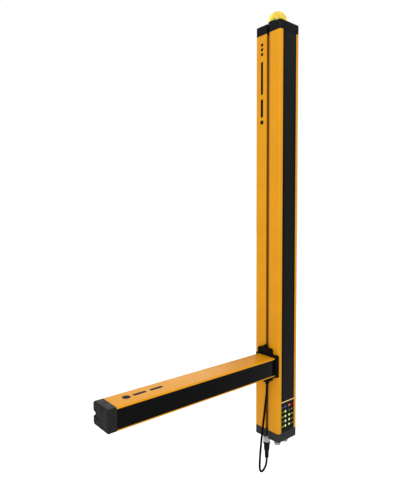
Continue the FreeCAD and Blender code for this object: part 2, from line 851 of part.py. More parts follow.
def arm_block(inset, bottom, top, edge):
    """The arm's outline with a funnel-shaped notch where its slot runs out."""
    outline = mirrored([(-arm_half + inset, -inset, arm_rear_corner - inset / 2),
                        (-arm_half + inset, -arm_depth + inset, arm_front_corner)])
    mouth = slot_mouth / 2 + inset
    notch = mirrored([
        (-mouth, -slot_depth - inset, 0.4),
        (-mouth, -slot_lip - 2.5, 0.4),
        (-arm_cap_notch / 2 - inset, 0, 0),
        (-arm_cap_notch / 2 - inset, 2, 0),
    ])
    return capped_block(outline, bottom, top, edge).cut(prism(notch, bottom - 1, top + 1))


def arm_pocket(bottom, top):
    outline = mirrored([
        (-arm_slot_wall, -slot_depth - arm_wall, 0),
        (-arm_slot_wall, -cap_wall, 0),
        (-arm_half + cap_wall, -cap_wall, 2.0),
        (-arm_half + cap_wall, -arm_depth + cap_wall, 1.0),
    ])
    return bored(prism(outline, bottom, top), arm_port_places, arm_port_radius, bottom, top)


def arm_seal(bottom):
    ring = arm_block(seal_inset, bottom, bottom + seal_thickness, 0)
    ring = ring.cut(arm_pocket(bottom - 1, bottom + seal_thickness + 1))
    ring = bored(ring, arm_port_places, screw_radius + 2 * fit_gap, bottom - 1, bottom + 2)
    return ring.removeSplitter()


arm_head_seat = arm_length - screw_head_height - head_gap


def arm_end_cap():
    body = arm_block(0, arm_end, arm_length, arm_cap_edge)
    body = body.cut(arm_pocket(arm_end - 1, arm_length - cap_floor)).cut(arm_seal(arm_end))
    height, width, depth = badge_recess
    corner = Vector(-height / 2, -badge_setback - width / 2, arm_length - depth)
    body = body.cut(Part.makeBox(height, width, depth + 1, corner))
    body = bored(body, arm_port_places, screw_radius + fit_gap, arm_end - 1, arm_length + 1)
    body = bored(body, arm_port_places, screw_head_radius + fit_gap, arm_head_seat, arm_length + 1)
    return on_arm(body.removeSplitter())


def arm_end_screws():
    one = pan_screw(arm_screw_length, screw_radius, screw_head_radius, screw_head_height)
    return [on_arm(placed(one, x, y, arm_head_seat)) for x, y in arm_port_places]


# the arm's optics: a bar behind the window with two lenses, a board and two sensors
arm_bar_front = arm_rib_rear + carrier_clearance
arm_bar_rear = arm_port_y - arm_port_radius - carrier_clearance
arm_bar_half = arm_cavity_half - carrier_clearance
arm_board_half = arm_port_x - arm_port_radius - carrier_clearance
arm_sensor_radius = arm_lens_radius - 1.0
arm_lens_thickness = 2.0


def arm_optics_bar():
    depth = arm_bar_rear - arm_bar_front
    body = Part.makeBox(2 * arm_bar_half, depth, arm_end - arm_start - 4,
                        Vector(-arm_bar_half, arm_bar_front, arm_start + 2))
    for z in arm_sensor_places:
        hole = cylinder(arm_lens_radius + fit_gap, depth + 2, 0, arm_bar_front - 1, z, Vector(0, 1, 0))
        body = body.cut(hole)
    return on_arm(body)


def arm_lenses():
    one = lens(arm_lens_radius, arm_lens_thickness, 1.2)
    return [on_arm(placed(one, 0, arm_bar_front, z)) for z in arm_sensor_places]


def arm_sensor_board():
    return on_arm(Part.makeBox(2 * arm_board_half, board_thickness, arm_end - arm_start - 4,
                               Vector(-arm_board_half, arm_bar_rear, arm_start + 2)))


def arm_sensors():
    return [on_arm(cylinder(arm_sensor_radius, 1.8, 0, arm_bar_rear, z, Vector(0, -1, 0)))
            for z in arm_sensor_places]


save("arm_housing", arm_housing())
save("arm_window", arm_window())
save("arm_end_cap", arm_end_cap())
save("arm_end_seal", on_arm(arm_seal(arm_end)))
save("arm_end_screws", *arm_end_screws())
save("arm_optics_bar", arm_optics_bar())
save("arm_lenses", *arm_lenses())
save("arm_sensor_board", arm_sensor_board())
save("arm_sensors", *arm_sensors())


# ---- bracket that carries the arm ---------------------------------------------------------------
arm_top = arm_base + arm_height
collar_top = arm_top + collar_wall
collar_bottom = arm_base - collar_wall
collar_back = arm_rear + collar_rear_wall
collar_front = arm_rear - arm_depth - collar_front_wall
ear_screw_heights = (collar_bottom - ear_screw_rise, collar_top + ear_screw_rise)
duct_y = arm_rear - arm_depth / 2
duct_x = gland_radius + duct_wall
gland_top = collar_bottom - ear_rise - 2
ear_floor = ear_thickness - ear_head_height - 0.2


def ear(sign):
    """A bracket ear above (+1) or below (-1) the collar, with a nose that lines up on the slot."""
    edge = arm_half + collar_wall + ear_rise
    rear = slot_y + ear_half_width
    front = slot_y - ear_half_width
    corners = [
        (0, rear, 0), (edge - 3, rear, 1.5), (edge, rear - 4, 2.0),
        (edge, slot_y + 4, 1.0), (edge + ear_nose, slot_y + 1.5, 1.0),
        (edge + ear_nose, slot_y - 1.5, 1.0), (edge, slot_y - 4, 1.0),
        (edge, front + 3, 2.0), (edge - 2, front, 1.5), (0, front, 0),
    ]
    outline = [(arm_mid + sign * x, y, radius) for x, y, radius in corners]
    return prism(outline, -rear_step, ear_thickness)


def arm_bracket():
    collar = [
        (collar_bottom, collar_back, collar_corner), (collar_top, collar_back, collar_corner),
        (collar_top, collar_front, collar_corner), (collar_bottom, collar_front, collar_corner),
    ]
    plate = [
        (collar_bottom - 0.8, collar_back + 0.8, 2.5), (collar_top + 0.8, collar_back + 0.8, 2.5),
        (collar_top + 0.8, collar_front - 0.4, 2.5), (collar_bottom - 0.8, collar_front - 0.4, 2.5),
    ]
    body = prism(collar, 0, collar_length).fuse(prism(plate, -rear_step, bracket_floor))
    body = body.fuse(ear(1)).fuse(ear(-1))
    duct = Part.makeCylinder(gland_radius + duct_wall, collar_bottom - gland_top + 1,
                             Vector(gland_top, duct_y, duct_x), Vector(1, 0, 0))
    body = body.fuse(duct)
    # the rear half of the column's side lies rear_step lower than the front half
    step_cut = Part.makeBox(400, column_depth, rear_step + 1,
                            Vector(0, slot_rear_edge - 0.2 - column_depth, -rear_step - 1))
    body = body.cut(step_cut)
    pocket = prism(mirrored([(-arm_half - fit_gap, fit_gap, arm_rear_corner),
                             (-arm_half - fit_gap, -arm_depth - fit_gap, arm_front_corner)]),
                   bracket_floor, collar_length + 1)
    body = body.cut(placed(pocket, arm_mid, arm_rear, 0))
    seat = countersunk_screw(bracket_floor + 1, screw_radius + fit_gap, screw_head_radius + fit_gap,
                             screw_head_height)
    seat.rotate(Vector(0, 0, 0), Vector(1, 0, 0), 180)
    for x, y in arm_port_places:
        body = body.cut(placed(seat, x + arm_mid, y + arm_rear, 0))
    ear_places = [(z, slot_y) for z in ear_screw_heights]
    body = bored(body, ear_places, ear_screw_radius + fit_gap, -5, ear_floor + 1)
    body = bored(body, ear_places, ear_head_radius + fit_gap, ear_floor, collar_length * 2)
    bore = Part.makeCylinder(gland_radius + fit_gap, 2 * gland_length - 1,
                             Vector(gland_top - gland_length, duct_y, duct_x), Vector(1, 0, 0))
    return from_side(body.cut(bore).removeSplitter())


def arm_mount_screws():
    one = countersunk_screw(arm_mount_screw_length, screw_radius, screw_head_radius, screw_head_height)
    one.rotate(Vector(0, 0, 0), Vector(1, 0, 0), 180)
    return [on_arm(placed(one, x, y, 0)) for x, y in arm_port_places]


def bracket_screw():
    """Socket-head screw with its seat at z = 0, tip downwards."""
    head = cylinder(ear_head_radius, ear_head_height, 0, 0, 0)
    key = hexagon(3.0, ear_head_height - 2.4, ear_head_height + 1)
    shank = cylinder(ear_screw_radius, slot_depth + ear_floor - 0.8, 0, 0, -(slot_depth + ear_floor - 0.8))
    return head.cut(key).fuse(shank).removeSplitter()


def bracket_screws():
    return [from_side(placed(bracket_screw(), z, slot_y, ear_floor)) for z in ear_screw_heights]


def slot_nuts():
    nuts = []
    width = slot_width - 0.4
    for z in ear_screw_heights:
        corner = Vector(z - slot_nut_length / 2, slot_y - width / 2, -slot_lip - slot_nut_thickness)
        nut = Part.makeBox(slot_nut_length, width, slot_nut_thickness, corner)
        nut = nut.cut(cylinder(ear_screw_radius + fit_gap, slot_depth, z, slot_y, -slot_depth))
        nuts.append(from_side(nut))
    return nuts


def cable_gland():
    """Rubber strain relief: a plug in the bracket's duct with a tapered tail below it."""
    bottom = gland_top - gland_length
    tail = Part.makeCone(cable_diameter / 2 + 0.7, gland_radius, gland_length, Vector(0, 0, bottom))
    plug = cylinder(gland_radius, gland_length - 1.2, 0, 0, gland_top)
    return placed(tail.fuse(plug).removeSplitter(), -half_width - duct_x, duct_y, 0)


save("arm_bracket", arm_bracket())
save("arm_bracket_seal", on_arm(arm_seal(bracket_floor)))
save("arm_mount_screws", *arm_mount_screws())
save("bracket_screws", *bracket_screws())
save("slot_nuts", *slot_nuts())
save("cable_gland", cable_gland())


# ---- cable: out of the gland, down past the column and up into the plug -------------------------
cable_top = (-half_width - duct_x, duct_y, gland_top - gland_length)
cable_end = (plug_x, plug_y, -plug_tail_bottom)
cable_route = [
    cable_top,
    (cable_top[0], cable_top[1], 96.0),
    (-32.9, -34.5, 77.0),
    (-35.6, -33.8, 55.0),
    (-38.4, -33.0, 32.0),
    (-40.8, -31.8, 9.0),
    (-42.4, -30.5, -13.0),
    (-43.0, -29.3, -31.0),
    (-43.0, -28.5, -44.5),
    (-43.0, -28.5, -55.2),
    (-39.3, -27.3, -61.9),
    (-33.0, -25.2, -65.8),
    (-23.0, -21.8, -65.8),
    (-16.7, -19.7, -61.9),
    (plug_x, plug_y, -55.2),
    cable_end,
]


def tube(route, radius):
    """A round tube along straight runs joined by tangent arcs as large as the runs allow."""
    points = [Vector(*point) for point in route]
    runs = [points[i + 1] - points[i] for i in range(len(points) - 1)]
    edges = []
    start = points[0]
    tightest = 1e9
    for i in range(1, len(points) - 1):
        turn = runs[i - 1].getAngle(runs[i])
        reach = 0.45 * min(runs[i - 1].Length, runs[i].Length)
        bend = reach / math.tan(turn / 2)
        tightest = min(tightest, bend)
        into = Vector(runs[i - 1]).normalize()
        out = Vector(runs[i]).normalize()
        first = points[i] - into * reach
        last = points[i] + out * reach
        inward = (out - into).normalize()
        middle = points[i] + inward * (bend / math.cos(turn / 2) - bend)
        edges.append(Part.LineSegment(start, first).toShape())
        edges.append(Part.Arc(first, middle, last).toShape())
        start = last
    edges.append(Part.LineSegment(start, points[-1]).toShape())
    path = Part.Wire(edges)
    ring = Part.Wire(Part.Circle(points[0], runs[0], radius).toShape())
    solid = path.makePipeShell([ring], True, False)
    print("cable length %.1f, tightest bend %.1f, volume ratio %.4f"
          % (path.Length, tightest, solid.Volume / (path.Length * math.pi * radius ** 2)))
    return solid


save("patch_cable", tube(cable_route, cable_diameter / 2))
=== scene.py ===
import json
import math
import bmesh
import bpy
from mathutils import Matrix, Vector


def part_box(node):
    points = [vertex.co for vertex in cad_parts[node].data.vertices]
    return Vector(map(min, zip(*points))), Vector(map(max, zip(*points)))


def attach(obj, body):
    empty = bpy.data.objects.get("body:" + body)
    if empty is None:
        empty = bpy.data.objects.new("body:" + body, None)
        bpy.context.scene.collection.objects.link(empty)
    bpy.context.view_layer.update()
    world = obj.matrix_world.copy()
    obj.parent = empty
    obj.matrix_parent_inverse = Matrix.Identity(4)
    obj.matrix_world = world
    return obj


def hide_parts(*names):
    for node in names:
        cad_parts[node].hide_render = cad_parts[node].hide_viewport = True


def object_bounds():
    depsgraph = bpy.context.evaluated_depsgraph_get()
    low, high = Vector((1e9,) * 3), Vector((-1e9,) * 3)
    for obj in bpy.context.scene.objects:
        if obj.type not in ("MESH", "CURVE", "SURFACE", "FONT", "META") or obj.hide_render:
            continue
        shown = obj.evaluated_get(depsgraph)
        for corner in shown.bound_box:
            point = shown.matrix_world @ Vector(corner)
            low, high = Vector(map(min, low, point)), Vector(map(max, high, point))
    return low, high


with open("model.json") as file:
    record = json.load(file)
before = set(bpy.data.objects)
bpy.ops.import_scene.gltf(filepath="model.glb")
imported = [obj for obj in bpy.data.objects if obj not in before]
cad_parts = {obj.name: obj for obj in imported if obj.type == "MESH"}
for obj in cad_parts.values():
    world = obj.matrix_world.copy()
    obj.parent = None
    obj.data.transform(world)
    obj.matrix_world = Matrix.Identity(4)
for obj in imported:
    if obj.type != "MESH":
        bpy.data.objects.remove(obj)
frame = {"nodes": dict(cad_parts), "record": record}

# Safety light curtain: a slotted column with a muting arm. Everything is in metres, in the frame's axes:
# +Z up the column, the rear face is y = 0, the window looks along -Y and the arm points along -X.

cadLow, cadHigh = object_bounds()
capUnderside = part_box("bottom_cap")[0].z      # heights below are counted from here where a piece says so

# camera
cameraSettings = {
    "place": (-0.63616, -0.60083, 0.03767),
    "yaw": 41.02,            # degrees to the right of +Y
    "pitch": 3.53,           # degrees below the horizon
    "roll": 0.17,
    "lens": 33.59,
    "shift": (-0.04375, 0.0082),
}


def makeCamera(settings):
    bpy.ops.object.camera_add(location=settings["place"])
    camera = bpy.context.object
    camera.name = "viewCamera"
    camera.rotation_euler = (math.radians(90 - settings["pitch"]), math.radians(settings["roll"]),
                             math.radians(-settings["yaw"]))
    camera.data.lens = settings["lens"]
    camera.data.shift_x, camera.data.shift_y = settings["shift"]
    camera.data.clip_start = 0.01
    camera.data.clip_end = 50
    bpy.context.scene.camera = camera


makeCamera(cameraSettings)
print("camera placed")


# cable
cableSettings = {
    "diameter": 0.0042,
    "length": 0.2122,
    "route": [               # x, y and the height above the underside of the bottom cap
        (-0.0308, -0.0355, 0.1080), (-0.0308, -0.0355, 0.0960), (-0.0329, -0.0345, 0.0770),
        (-0.0356, -0.0338, 0.0550), (-0.0384, -0.0330, 0.0320), (-0.0408, -0.0318, 0.0090),
        (-0.0424, -0.0305, -0.0130), (-0.0430, -0.0293, -0.0310), (-0.0430, -0.0285, -0.0445),
        (-0.0430, -0.0285, -0.0552), (-0.0393, -0.0273, -0.0619), (-0.0330, -0.0252, -0.0658),
        (-0.0230, -0.0218, -0.0658), (-0.0167, -0.0197, -0.0619), (-0.0130, -0.0185, -0.0552),
        (-0.0130, -0.0185, -0.0475),
    ],
}


def makeCable(settings):
    line = bpy.data.curves.new("patchCable", "CURVE")
    line.dimensions = "3D"
    spline = line.splines.new("NURBS")
    spline.points.add(len(settings["route"]) - 1)
    for point, (x, y, height) in zip(spline.points, settings["route"]):
        point.co = (x, y, height + capUnderside, 1)
    spline.order_u = 3
    spline.use_endpoint_u = True
    spline.resolution_u = 12
    line.bevel_depth = settings["diameter"] / 2
    line.bevel_resolution = 6
    line.use_fill_caps = True
    cable = bpy.data.objects.new("patchCable", line)
    bpy.context.scene.collection.objects.link(cable)
    return cable


cable = makeCable(cableSettings)
print("cable laid")


# floor and light
stageSettings = {
    "floorDrop": 0.55,       # below the lowest point of the object, which is held by its back
    "floorSize": 40.0,
    "floorColour": (0.95, 0.95, 0.95, 1),
    "floorGlow": 0.36,       # keeps the sheet white out to its far edge
    "skyBehind": 1.0,        # how bright the sky is behind the object and through the lamp
    "skyLight": 0.85,        # as a light
    "skyGloss": 0.38,        # in reflections
    "lampTarget": (-0.1, -0.03, -0.05),
    "lamps": [               # name, place, width, height, power
        ("keyLight", (-2.0, -0.8, 1.2), 1.4, 1.4, 7),
        ("cornerLight", (-1.3, -1.35, 0.45), 0.25, 1.3, 7),
        ("topLight", (-0.3, -0.4, 2.0), 1.6, 1.6, 5),
        ("backLight", (0.9, 2.0, 0.9), 1.4, 1.4, 8),
    ],
}


def makeStage(settings):
    bpy.ops.mesh.primitive_plane_add(size=settings["floorSize"],
                                     location=(0, 0, cadLow.z - settings["floorDrop"]))
    floor = bpy.context.object
    floor.name = "floorSheet"
    paper = bpy.data.materials.new("paleFloor")
    paper.use_nodes = True
    shader = paper.node_tree.nodes["Principled BSDF"]
    shader.inputs["Base Color"].default_value = settings["floorColour"]
    shader.inputs["Roughness"].default_value = 0.9
    shader.inputs["Specular IOR Level"].default_value = 0.1
    shader.inputs["Emission Color"].default_value = (1, 1, 1, 1)
    shader.inputs["Emission Strength"].default_value = settings["floorGlow"]
    floor.data.materials.append(paper)
    floor.visible_glossy = False
    floor.visible_diffuse = False

    world = bpy.data.worlds.new("studioSky")
    bpy.context.scene.world = world
    world.use_nodes = True
    tree = world.node_tree
    tree.nodes.clear()
    path = tree.nodes.new("ShaderNodeLightPath")
    glossStrength = tree.nodes.new("ShaderNodeMapRange")
    glossStrength.inputs["To Min"].default_value = settings["skyLight"]
    glossStrength.inputs["To Max"].default_value = settings["skyGloss"]
    strength = tree.nodes.new("ShaderNodeMapRange")
    strength.inputs["To Max"].default_value = settings["skyBehind"]
    sky = tree.nodes.new("ShaderNodeBackground")
    out = tree.nodes.new("ShaderNodeOutputWorld")
    tree.links.new(path.outputs["Is Glossy Ray"], glossStrength.inputs["Value"])
    tree.links.new(glossStrength.outputs["Result"], strength.inputs["To Min"])
    seen = tree.nodes.new("ShaderNodeMath")               # seen straight on or through the lamp
    seen.operation = "MAXIMUM"
    tree.links.new(path.outputs["Is Camera Ray"], seen.inputs[0])
    tree.links.new(path.outputs["Is Transmission Ray"], seen.inputs[1])
    tree.links.new(seen.outputs["Value"], strength.inputs["Value"])
    tree.links.new(strength.outputs["Result"], sky.inputs["Strength"])
    tree.links.new(sky.outputs["Background"], out.inputs["Surface"])
    sky.inputs["Color"].default_value = (1, 1, 1, 1)

    target = Vector(settings["lampTarget"])
    for name, place, width, height, power in settings["lamps"]:
        bpy.ops.object.light_add(type="AREA", location=place)
        lamp = bpy.context.object
        lamp.name = name
        lamp.data.shape = "RECTANGLE"
        lamp.data.size = width
        lamp.data.size_y = height
        lamp.data.energy = power
        lamp.rotation_euler = (target - Vector(place)).to_track_quat("-Z", "Y").to_euler()
    bpy.context.scene.view_settings.view_transform = "Standard"


makeStage(stageSettings)
print("floor and lights placed")


# modelling helpers
weldDistance = {"spun": 0.000005, "shell": 0.000002, "thread": 0.000001}      # points closer than this merge


def pickOnly(piece):
    bpy.ops.object.select_all(action="DESELECT")
    piece.select_set(True)
    bpy.context.view_layer.objects.active = piece


def startEdit(piece, kind="VERT", everything=True):
    pickOnly(piece)
    bpy.ops.object.mode_set(mode="EDIT")
    bpy.ops.mesh.select_mode(type=kind)
    bpy.ops.mesh.select_all(action="SELECT" if everything else "DESELECT")


def endEdit():
    bpy.ops.object.mode_set(mode="OBJECT")


def selectFaces(piece, wanted):
    startEdit(piece, "FACE", False)
    mesh = bmesh.from_edit_mesh(piece.data)
    for face in mesh.faces:
        if wanted(face.calc_center_median(), face.normal):
            face.select_set(True)
    bmesh.update_edit_mesh(piece.data)


def applyPlace(piece):
    pickOnly(piece)
    bpy.ops.object.transform_apply(location=True, rotation=True, scale=True)


def smooth(piece, degrees):
    pickOnly(piece)
    bpy.ops.object.shade_smooth_by_angle(angle=math.radians(degrees))


def roundEdges(piece, width, degrees=40):
    pickOnly(piece)
    bevel = piece.modifiers.new("edges", "BEVEL")
    bevel.width = width
    bevel.segments = 2
    bevel.limit_method = "ANGLE"
    bevel.angle_limit = math.radians(degrees)
    bevel.use_clamp_overlap = True
    bpy.ops.object.modifier_apply(modifier=bevel.name)


def carve(piece, cutter):
    pickOnly(piece)
    cut = piece.modifiers.new("carve", "BOOLEAN")
    cut.operation = "DIFFERENCE"
    cut.solver = "EXACT"
    cut.object = cutter
    bpy.ops.object.modifier_apply(modifier=cut.name)
    bpy.data.objects.remove(cutter)


def joinAs(name, parts):
    bpy.ops.object.select_all(action="DESELECT")
    for part in parts:
        part.select_set(True)
    bpy.context.view_layer.objects.active = parts[0]
    if len(parts) > 1:
        bpy.ops.object.join()
    piece = bpy.context.view_layer.objects.active
    piece.name = name
    piece.data.name = name
    return piece


def spun(name, outline, steps):
    # a body turned about the z axis from (radius, height) points, as on a lathe
    bpy.ops.mesh.primitive_plane_add(size=0.001, location=(0, 0, 0))
    piece = bpy.context.object
    piece.name = name
    startEdit(piece)
    bpy.ops.mesh.merge(type="CENTER")
    bpy.ops.transform.translate(value=(outline[0][0], 0, outline[0][1]))
    for (oldRadius, oldHeight), (radius, height) in zip(outline, outline[1:]):
        step = (radius - oldRadius, 0, height - oldHeight)
        bpy.ops.mesh.extrude_region_move(TRANSFORM_OT_translate={"value": step})
    bpy.ops.mesh.select_all(action="SELECT")
    bpy.ops.mesh.spin(steps=steps, angle=2 * math.pi, center=(0, 0, 0), axis=(0, 0, 1))
    bpy.ops.mesh.select_all(action="SELECT")
    bpy.ops.mesh.remove_doubles(threshold=weldDistance["spun"])
    bpy.ops.mesh.normals_make_consistent(inside=False)
    endEdit()
    return piece


def aimed(piece, place, direction):
    # move a piece that stands on the z axis to its place, with that axis turned to a direction
    turn = Vector(direction).to_track_quat("Z", "Y").to_matrix().to_4x4()
    piece.data.transform(Matrix.Translation(Vector(place)) @ turn)
    piece.data.update()
    return piece


def arcPoints(centreRadius, centreHeight, radius, first, last, count):
    # (radius, height) points along an arc, its ends in degrees
    points = []
    for i in range(count + 1):
        angle = math.radians(first + (last - first) * i / count)
        points.append((centreRadius + radius * math.cos(angle), centreHeight + radius * math.sin(angle)))
    return points


def printedBar(name, length, width, corner, proud):
    # a thin rounded bar lying in the XY plane, long in x, its underside on z = 0
    bpy.ops.mesh.primitive_plane_add(size=1, location=(0, 0, 0))
    bar = bpy.context.object
    bar.name = name
    startEdit(bar)
    bpy.ops.transform.resize(value=(length, width, 1))
    bpy.ops.mesh.bevel(offset=corner, segments=5, affect="VERTICES")
    bpy.ops.mesh.select_all(action="SELECT")
    bpy.ops.mesh.extrude_region_move(TRANSFORM_OT_translate={"value": (0, 0, proud)})
    bpy.ops.mesh.select_all(action="SELECT")
    bpy.ops.mesh.normals_make_consistent(inside=False)
    endEdit()
    return bar


def laidOn(piece, place, along, outward):
    # turn a flat mark so that its length runs along one direction and its face looks outward
    x = Vector(along).normalized()
    z = Vector(outward).normalized()
    y = z.cross(x)
    turn = Matrix((x, y, z)).transposed().to_4x4()
    piece.data.transform(Matrix.Translation(Vector(place)) @ turn)
    piece.data.update()
    return piece


def finishAs(piece, slotName, nodeName):
    # dress a piece that stands for a CAD node
    piece.data.materials.clear()
    piece.data.materials.append(finishes[slotName])
    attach(piece, "root")
    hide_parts(nodeName)
    return piece


def addAs(piece, finish):
    # dress a piece that the CAD does not have
    piece.data.materials.clear()
    piece.data.materials.append(finish)
    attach(piece, "root")


def mergedCopy(nodeName, name):
    # a CAD node's mesh with its triangles joined up into whole faces
    source = frame["nodes"][nodeName]
    piece = bpy.data.objects.new(name, source.data.copy())
    piece.data.name = name
    bpy.context.scene.collection.objects.link(piece)
    startEdit(piece)
    bpy.ops.mesh.remove_doubles(threshold=weldDistance["shell"])
    bpy.ops.mesh.dissolve_limited(angle_limit=math.radians(1))
    endEdit()
    if piece.data.has_custom_normals:
        bpy.ops.mesh.customdata_custom_splitnormals_clear()
    return piece


def solidBoxes(nodeName):
    # lowest and highest corner of each separate solid of a CAD node
    copy = mergedCopy(nodeName, "counting")
    startEdit(copy)
    bpy.ops.mesh.separate(type="LOOSE")
    endEdit()
    found = []
    for part in list(bpy.context.selected_objects):
        corners = [vertex.co for vertex in part.data.vertices]
        low = Vector([min(corner[axis] for corner in corners) for axis in range(3)])
        high = Vector([max(corner[axis] for corner in corners) for axis in range(3)])
        found.append((low, high))
        bpy.data.objects.remove(part)
    return sorted(found, key=lambda pair: [round(value, 4) for value in pair[0]])


# finishes
def startFinish(name, colour, roughness, specular=0.5):
    finish = bpy.data.materials.new(name)
    finish.use_nodes = True
    tree = finish.node_tree
    shader = tree.nodes["Principled BSDF"]
    shader.inputs["Base Color"].default_value = (*colour, 1)
    shader.inputs["Roughness"].default_value = roughness
    shader.inputs["Specular IOR Level"].default_value = specular
    finish.diffuse_color = (*colour, 1)
    return finish, tree, shader


def placedTexture(tree, kind, scale, stretch=(1, 1, 1)):
    place = tree.nodes.new("ShaderNodeTexCoord")
    mapping = tree.nodes.new("ShaderNodeMapping")
    mapping.inputs["Scale"].default_value = stretch
    texture = tree.nodes.new(kind)
    texture.inputs["Scale"].default_value = scale
    tree.links.new(place.outputs["Object"], mapping.inputs["Vector"])
    tree.links.new(mapping.outputs["Vector"], texture.inputs["Vector"])
    return texture


def grain(tree, scale, detail, stretch=(1, 1, 1)):
    texture = placedTexture(tree, "ShaderNodeTexNoise", scale, stretch)
    texture.inputs["Detail"].default_value = detail
    return texture.outputs["Fac"]


def cells(tree, scale):
    return placedTexture(tree, "ShaderNodeTexVoronoi", scale).outputs["Distance"]


def varyColour(tree, shader, pattern, dark, light, low=0.35, high=0.65):
    ramp = tree.nodes.new("ShaderNodeValToRGB")
    ramp.color_ramp.elements[0].position = low
    ramp.color_ramp.elements[0].color = (*dark, 1)
    ramp.color_ramp.elements[1].position = high
    ramp.color_ramp.elements[1].color = (*light, 1)
    tree.links.new(pattern, ramp.inputs["Fac"])
    tree.links.new(ramp.outputs["Color"], shader.inputs["Base Color"])


def varyRoughness(tree, shader, pattern, low, high):
    spread = tree.nodes.new("ShaderNodeMapRange")
    spread.inputs["From Min"].default_value = 0.3      # most of the noise lies between these two
    spread.inputs["From Max"].default_value = 0.7
    spread.inputs["To Min"].default_value = low
    spread.inputs["To Max"].default_value = high
    tree.links.new(pattern, spread.inputs["Value"])
    tree.links.new(spread.outputs["Result"], shader.inputs["Roughness"])


def raiseBumps(tree, shader, pattern, strength, height):
    bump = tree.nodes.new("ShaderNodeBump")
    bump.inputs["Strength"].default_value = strength
    bump.inputs["Distance"].default_value = height
    tree.links.new(pattern, bump.inputs["Height"])
    tree.links.new(bump.outputs["Normal"], shader.inputs["Normal"])


def shade(colour, amount):
    return tuple(min(1.0, channel * amount) for channel in colour)


def powderCoat(name, colour):
    finish, tree, shader = startFinish(name, colour, roughness=0.32, specular=0.15)
    varyColour(tree, shader, grain(tree, 26, 4), shade(colour, 0.965), shade(colour, 1.03))
    varyRoughness(tree, shader, grain(tree, 60, 2), low=0.27, high=0.37)
    peel = grain(tree, 900, 2)                         # orange peel, about 1 mm across
    raiseBumps(tree, shader, peel, strength=0.14, height=0.00012)
    return finish


coatSettings = {
    "lip": -0.0316,          # y of the edge of the column's slots that lies towards the window
    "fade": 0.0065,          # how far in front of it the painted shade reaches
    "overlap": 0.0005,       # how far behind it the tone is cut off
    # colour of the painted shade in front of the slots
    "paintedShade": (0.42, 0.195, 0.034, 1),
}


def columnCoatWithSlotShade(name, colour, settings):
    # painted shade: the coat is darkened in front of the slots, standing in for the shade along their lips,
    # and fades out over a few millimetres
    lip = settings["lip"]
    finish = powderCoat(name, colour)
    tree = finish.node_tree
    shader = tree.nodes["Principled BSDF"]
    place = tree.nodes.new("ShaderNodeTexCoord")
    axes = tree.nodes.new("ShaderNodeSeparateXYZ")
    fade = tree.nodes.new("ShaderNodeMapRange")
    fade.inputs["From Min"].default_value = lip - settings["fade"]
    fade.inputs["From Max"].default_value = lip
    fade.interpolation_type = "SMOOTHSTEP"
    behind = tree.nodes.new("ShaderNodeMath")
    behind.operation = "LESS_THAN"
    behind.inputs[1].default_value = lip + settings["overlap"]
    amount = tree.nodes.new("ShaderNodeMath")
    amount.operation = "MULTIPLY"
    paintedShade = tree.nodes.new("ShaderNodeMix")
    paintedShade.data_type = "RGBA"
    paintedShade.inputs["B"].default_value = settings["paintedShade"]
    coat = shader.inputs["Base Color"].links[0].from_socket
    tree.links.new(place.outputs["Object"], axes.inputs["Vector"])
    tree.links.new(axes.outputs["Y"], fade.inputs["Value"])
    tree.links.new(axes.outputs["Y"], behind.inputs[0])
    tree.links.new(fade.outputs["Result"], amount.inputs[0])
    tree.links.new(behind.outputs["Value"], amount.inputs[1])
    tree.links.new(amount.outputs["Value"], paintedShade.inputs["Factor"])
    tree.links.new(coat, paintedShade.inputs["A"])
    tree.links.new(paintedShade.outputs["Result"], shader.inputs["Base Color"])
    return finish


acrylicSettings = {"middleEnds": 0.0125, "edgeStarts": 0.0155}      # distances from the column's middle line


def polishedAcrylic(name, edge, middle, specular):
    # smoked strip, greyer in its middle and darker towards its long edges; the darker edges are painted shade
    # from the walls of its recess
    finish, tree, shader = startFinish(name, edge, 0.08, specular)
    place = tree.nodes.new("ShaderNodeTexCoord")
    axes = tree.nodes.new("ShaderNodeSeparateXYZ")
    across = tree.nodes.new("ShaderNodeMath")
    across.operation = "ABSOLUTE"
    tree.links.new(place.outputs["Object"], axes.inputs["Vector"])
    tree.links.new(axes.outputs["X"], across.inputs[0])
    ramp = tree.nodes.new("ShaderNodeValToRGB")
    ramp.color_ramp.elements[0].position = acrylicSettings["middleEnds"]
    ramp.color_ramp.elements[0].color = (*middle, 1)
    ramp.color_ramp.elements[1].position = acrylicSettings["edgeStarts"]
    ramp.color_ramp.elements[1].color = (*edge, 1)
    tree.links.new(across.outputs["Value"], ramp.inputs["Fac"])
    tree.links.new(ramp.outputs["Color"], shader.inputs["Base Color"])
    varyRoughness(tree, shader, grain(tree, 40, 3), low=0.05, high=0.11)
    waves = grain(tree, 14, 1)                         # slow waviness of an extruded strip
    raiseBumps(tree, shader, waves, strength=0.02, height=0.0004)
    return finish


def mouldedPlastic(name, colour, roughness=0.52, scale=3200, specular=0.16):
    finish, tree, shader = startFinish(name, colour, roughness, specular)
    varyColour(tree, shader, grain(tree, 300, 4), shade(colour, 0.88), shade(colour, 1.12))
    varyRoughness(tree, shader, grain(tree, 120, 3), roughness - 0.06, roughness + 0.06)
    raiseBumps(tree, shader, cells(tree, scale), strength=0.25, height=0.00006)      # spark-eroded grain
    return finish


lightGrid = {                # where the indicator lights stand, and how they pale
    "column": 0.0053,        # from the middle line between the two columns
    "pitch": 0.0092,
    "radius": 0.0023,
    "coreEnds": 0.05,        # as shares of the radius
    "edgeStarts": 0.90,
}


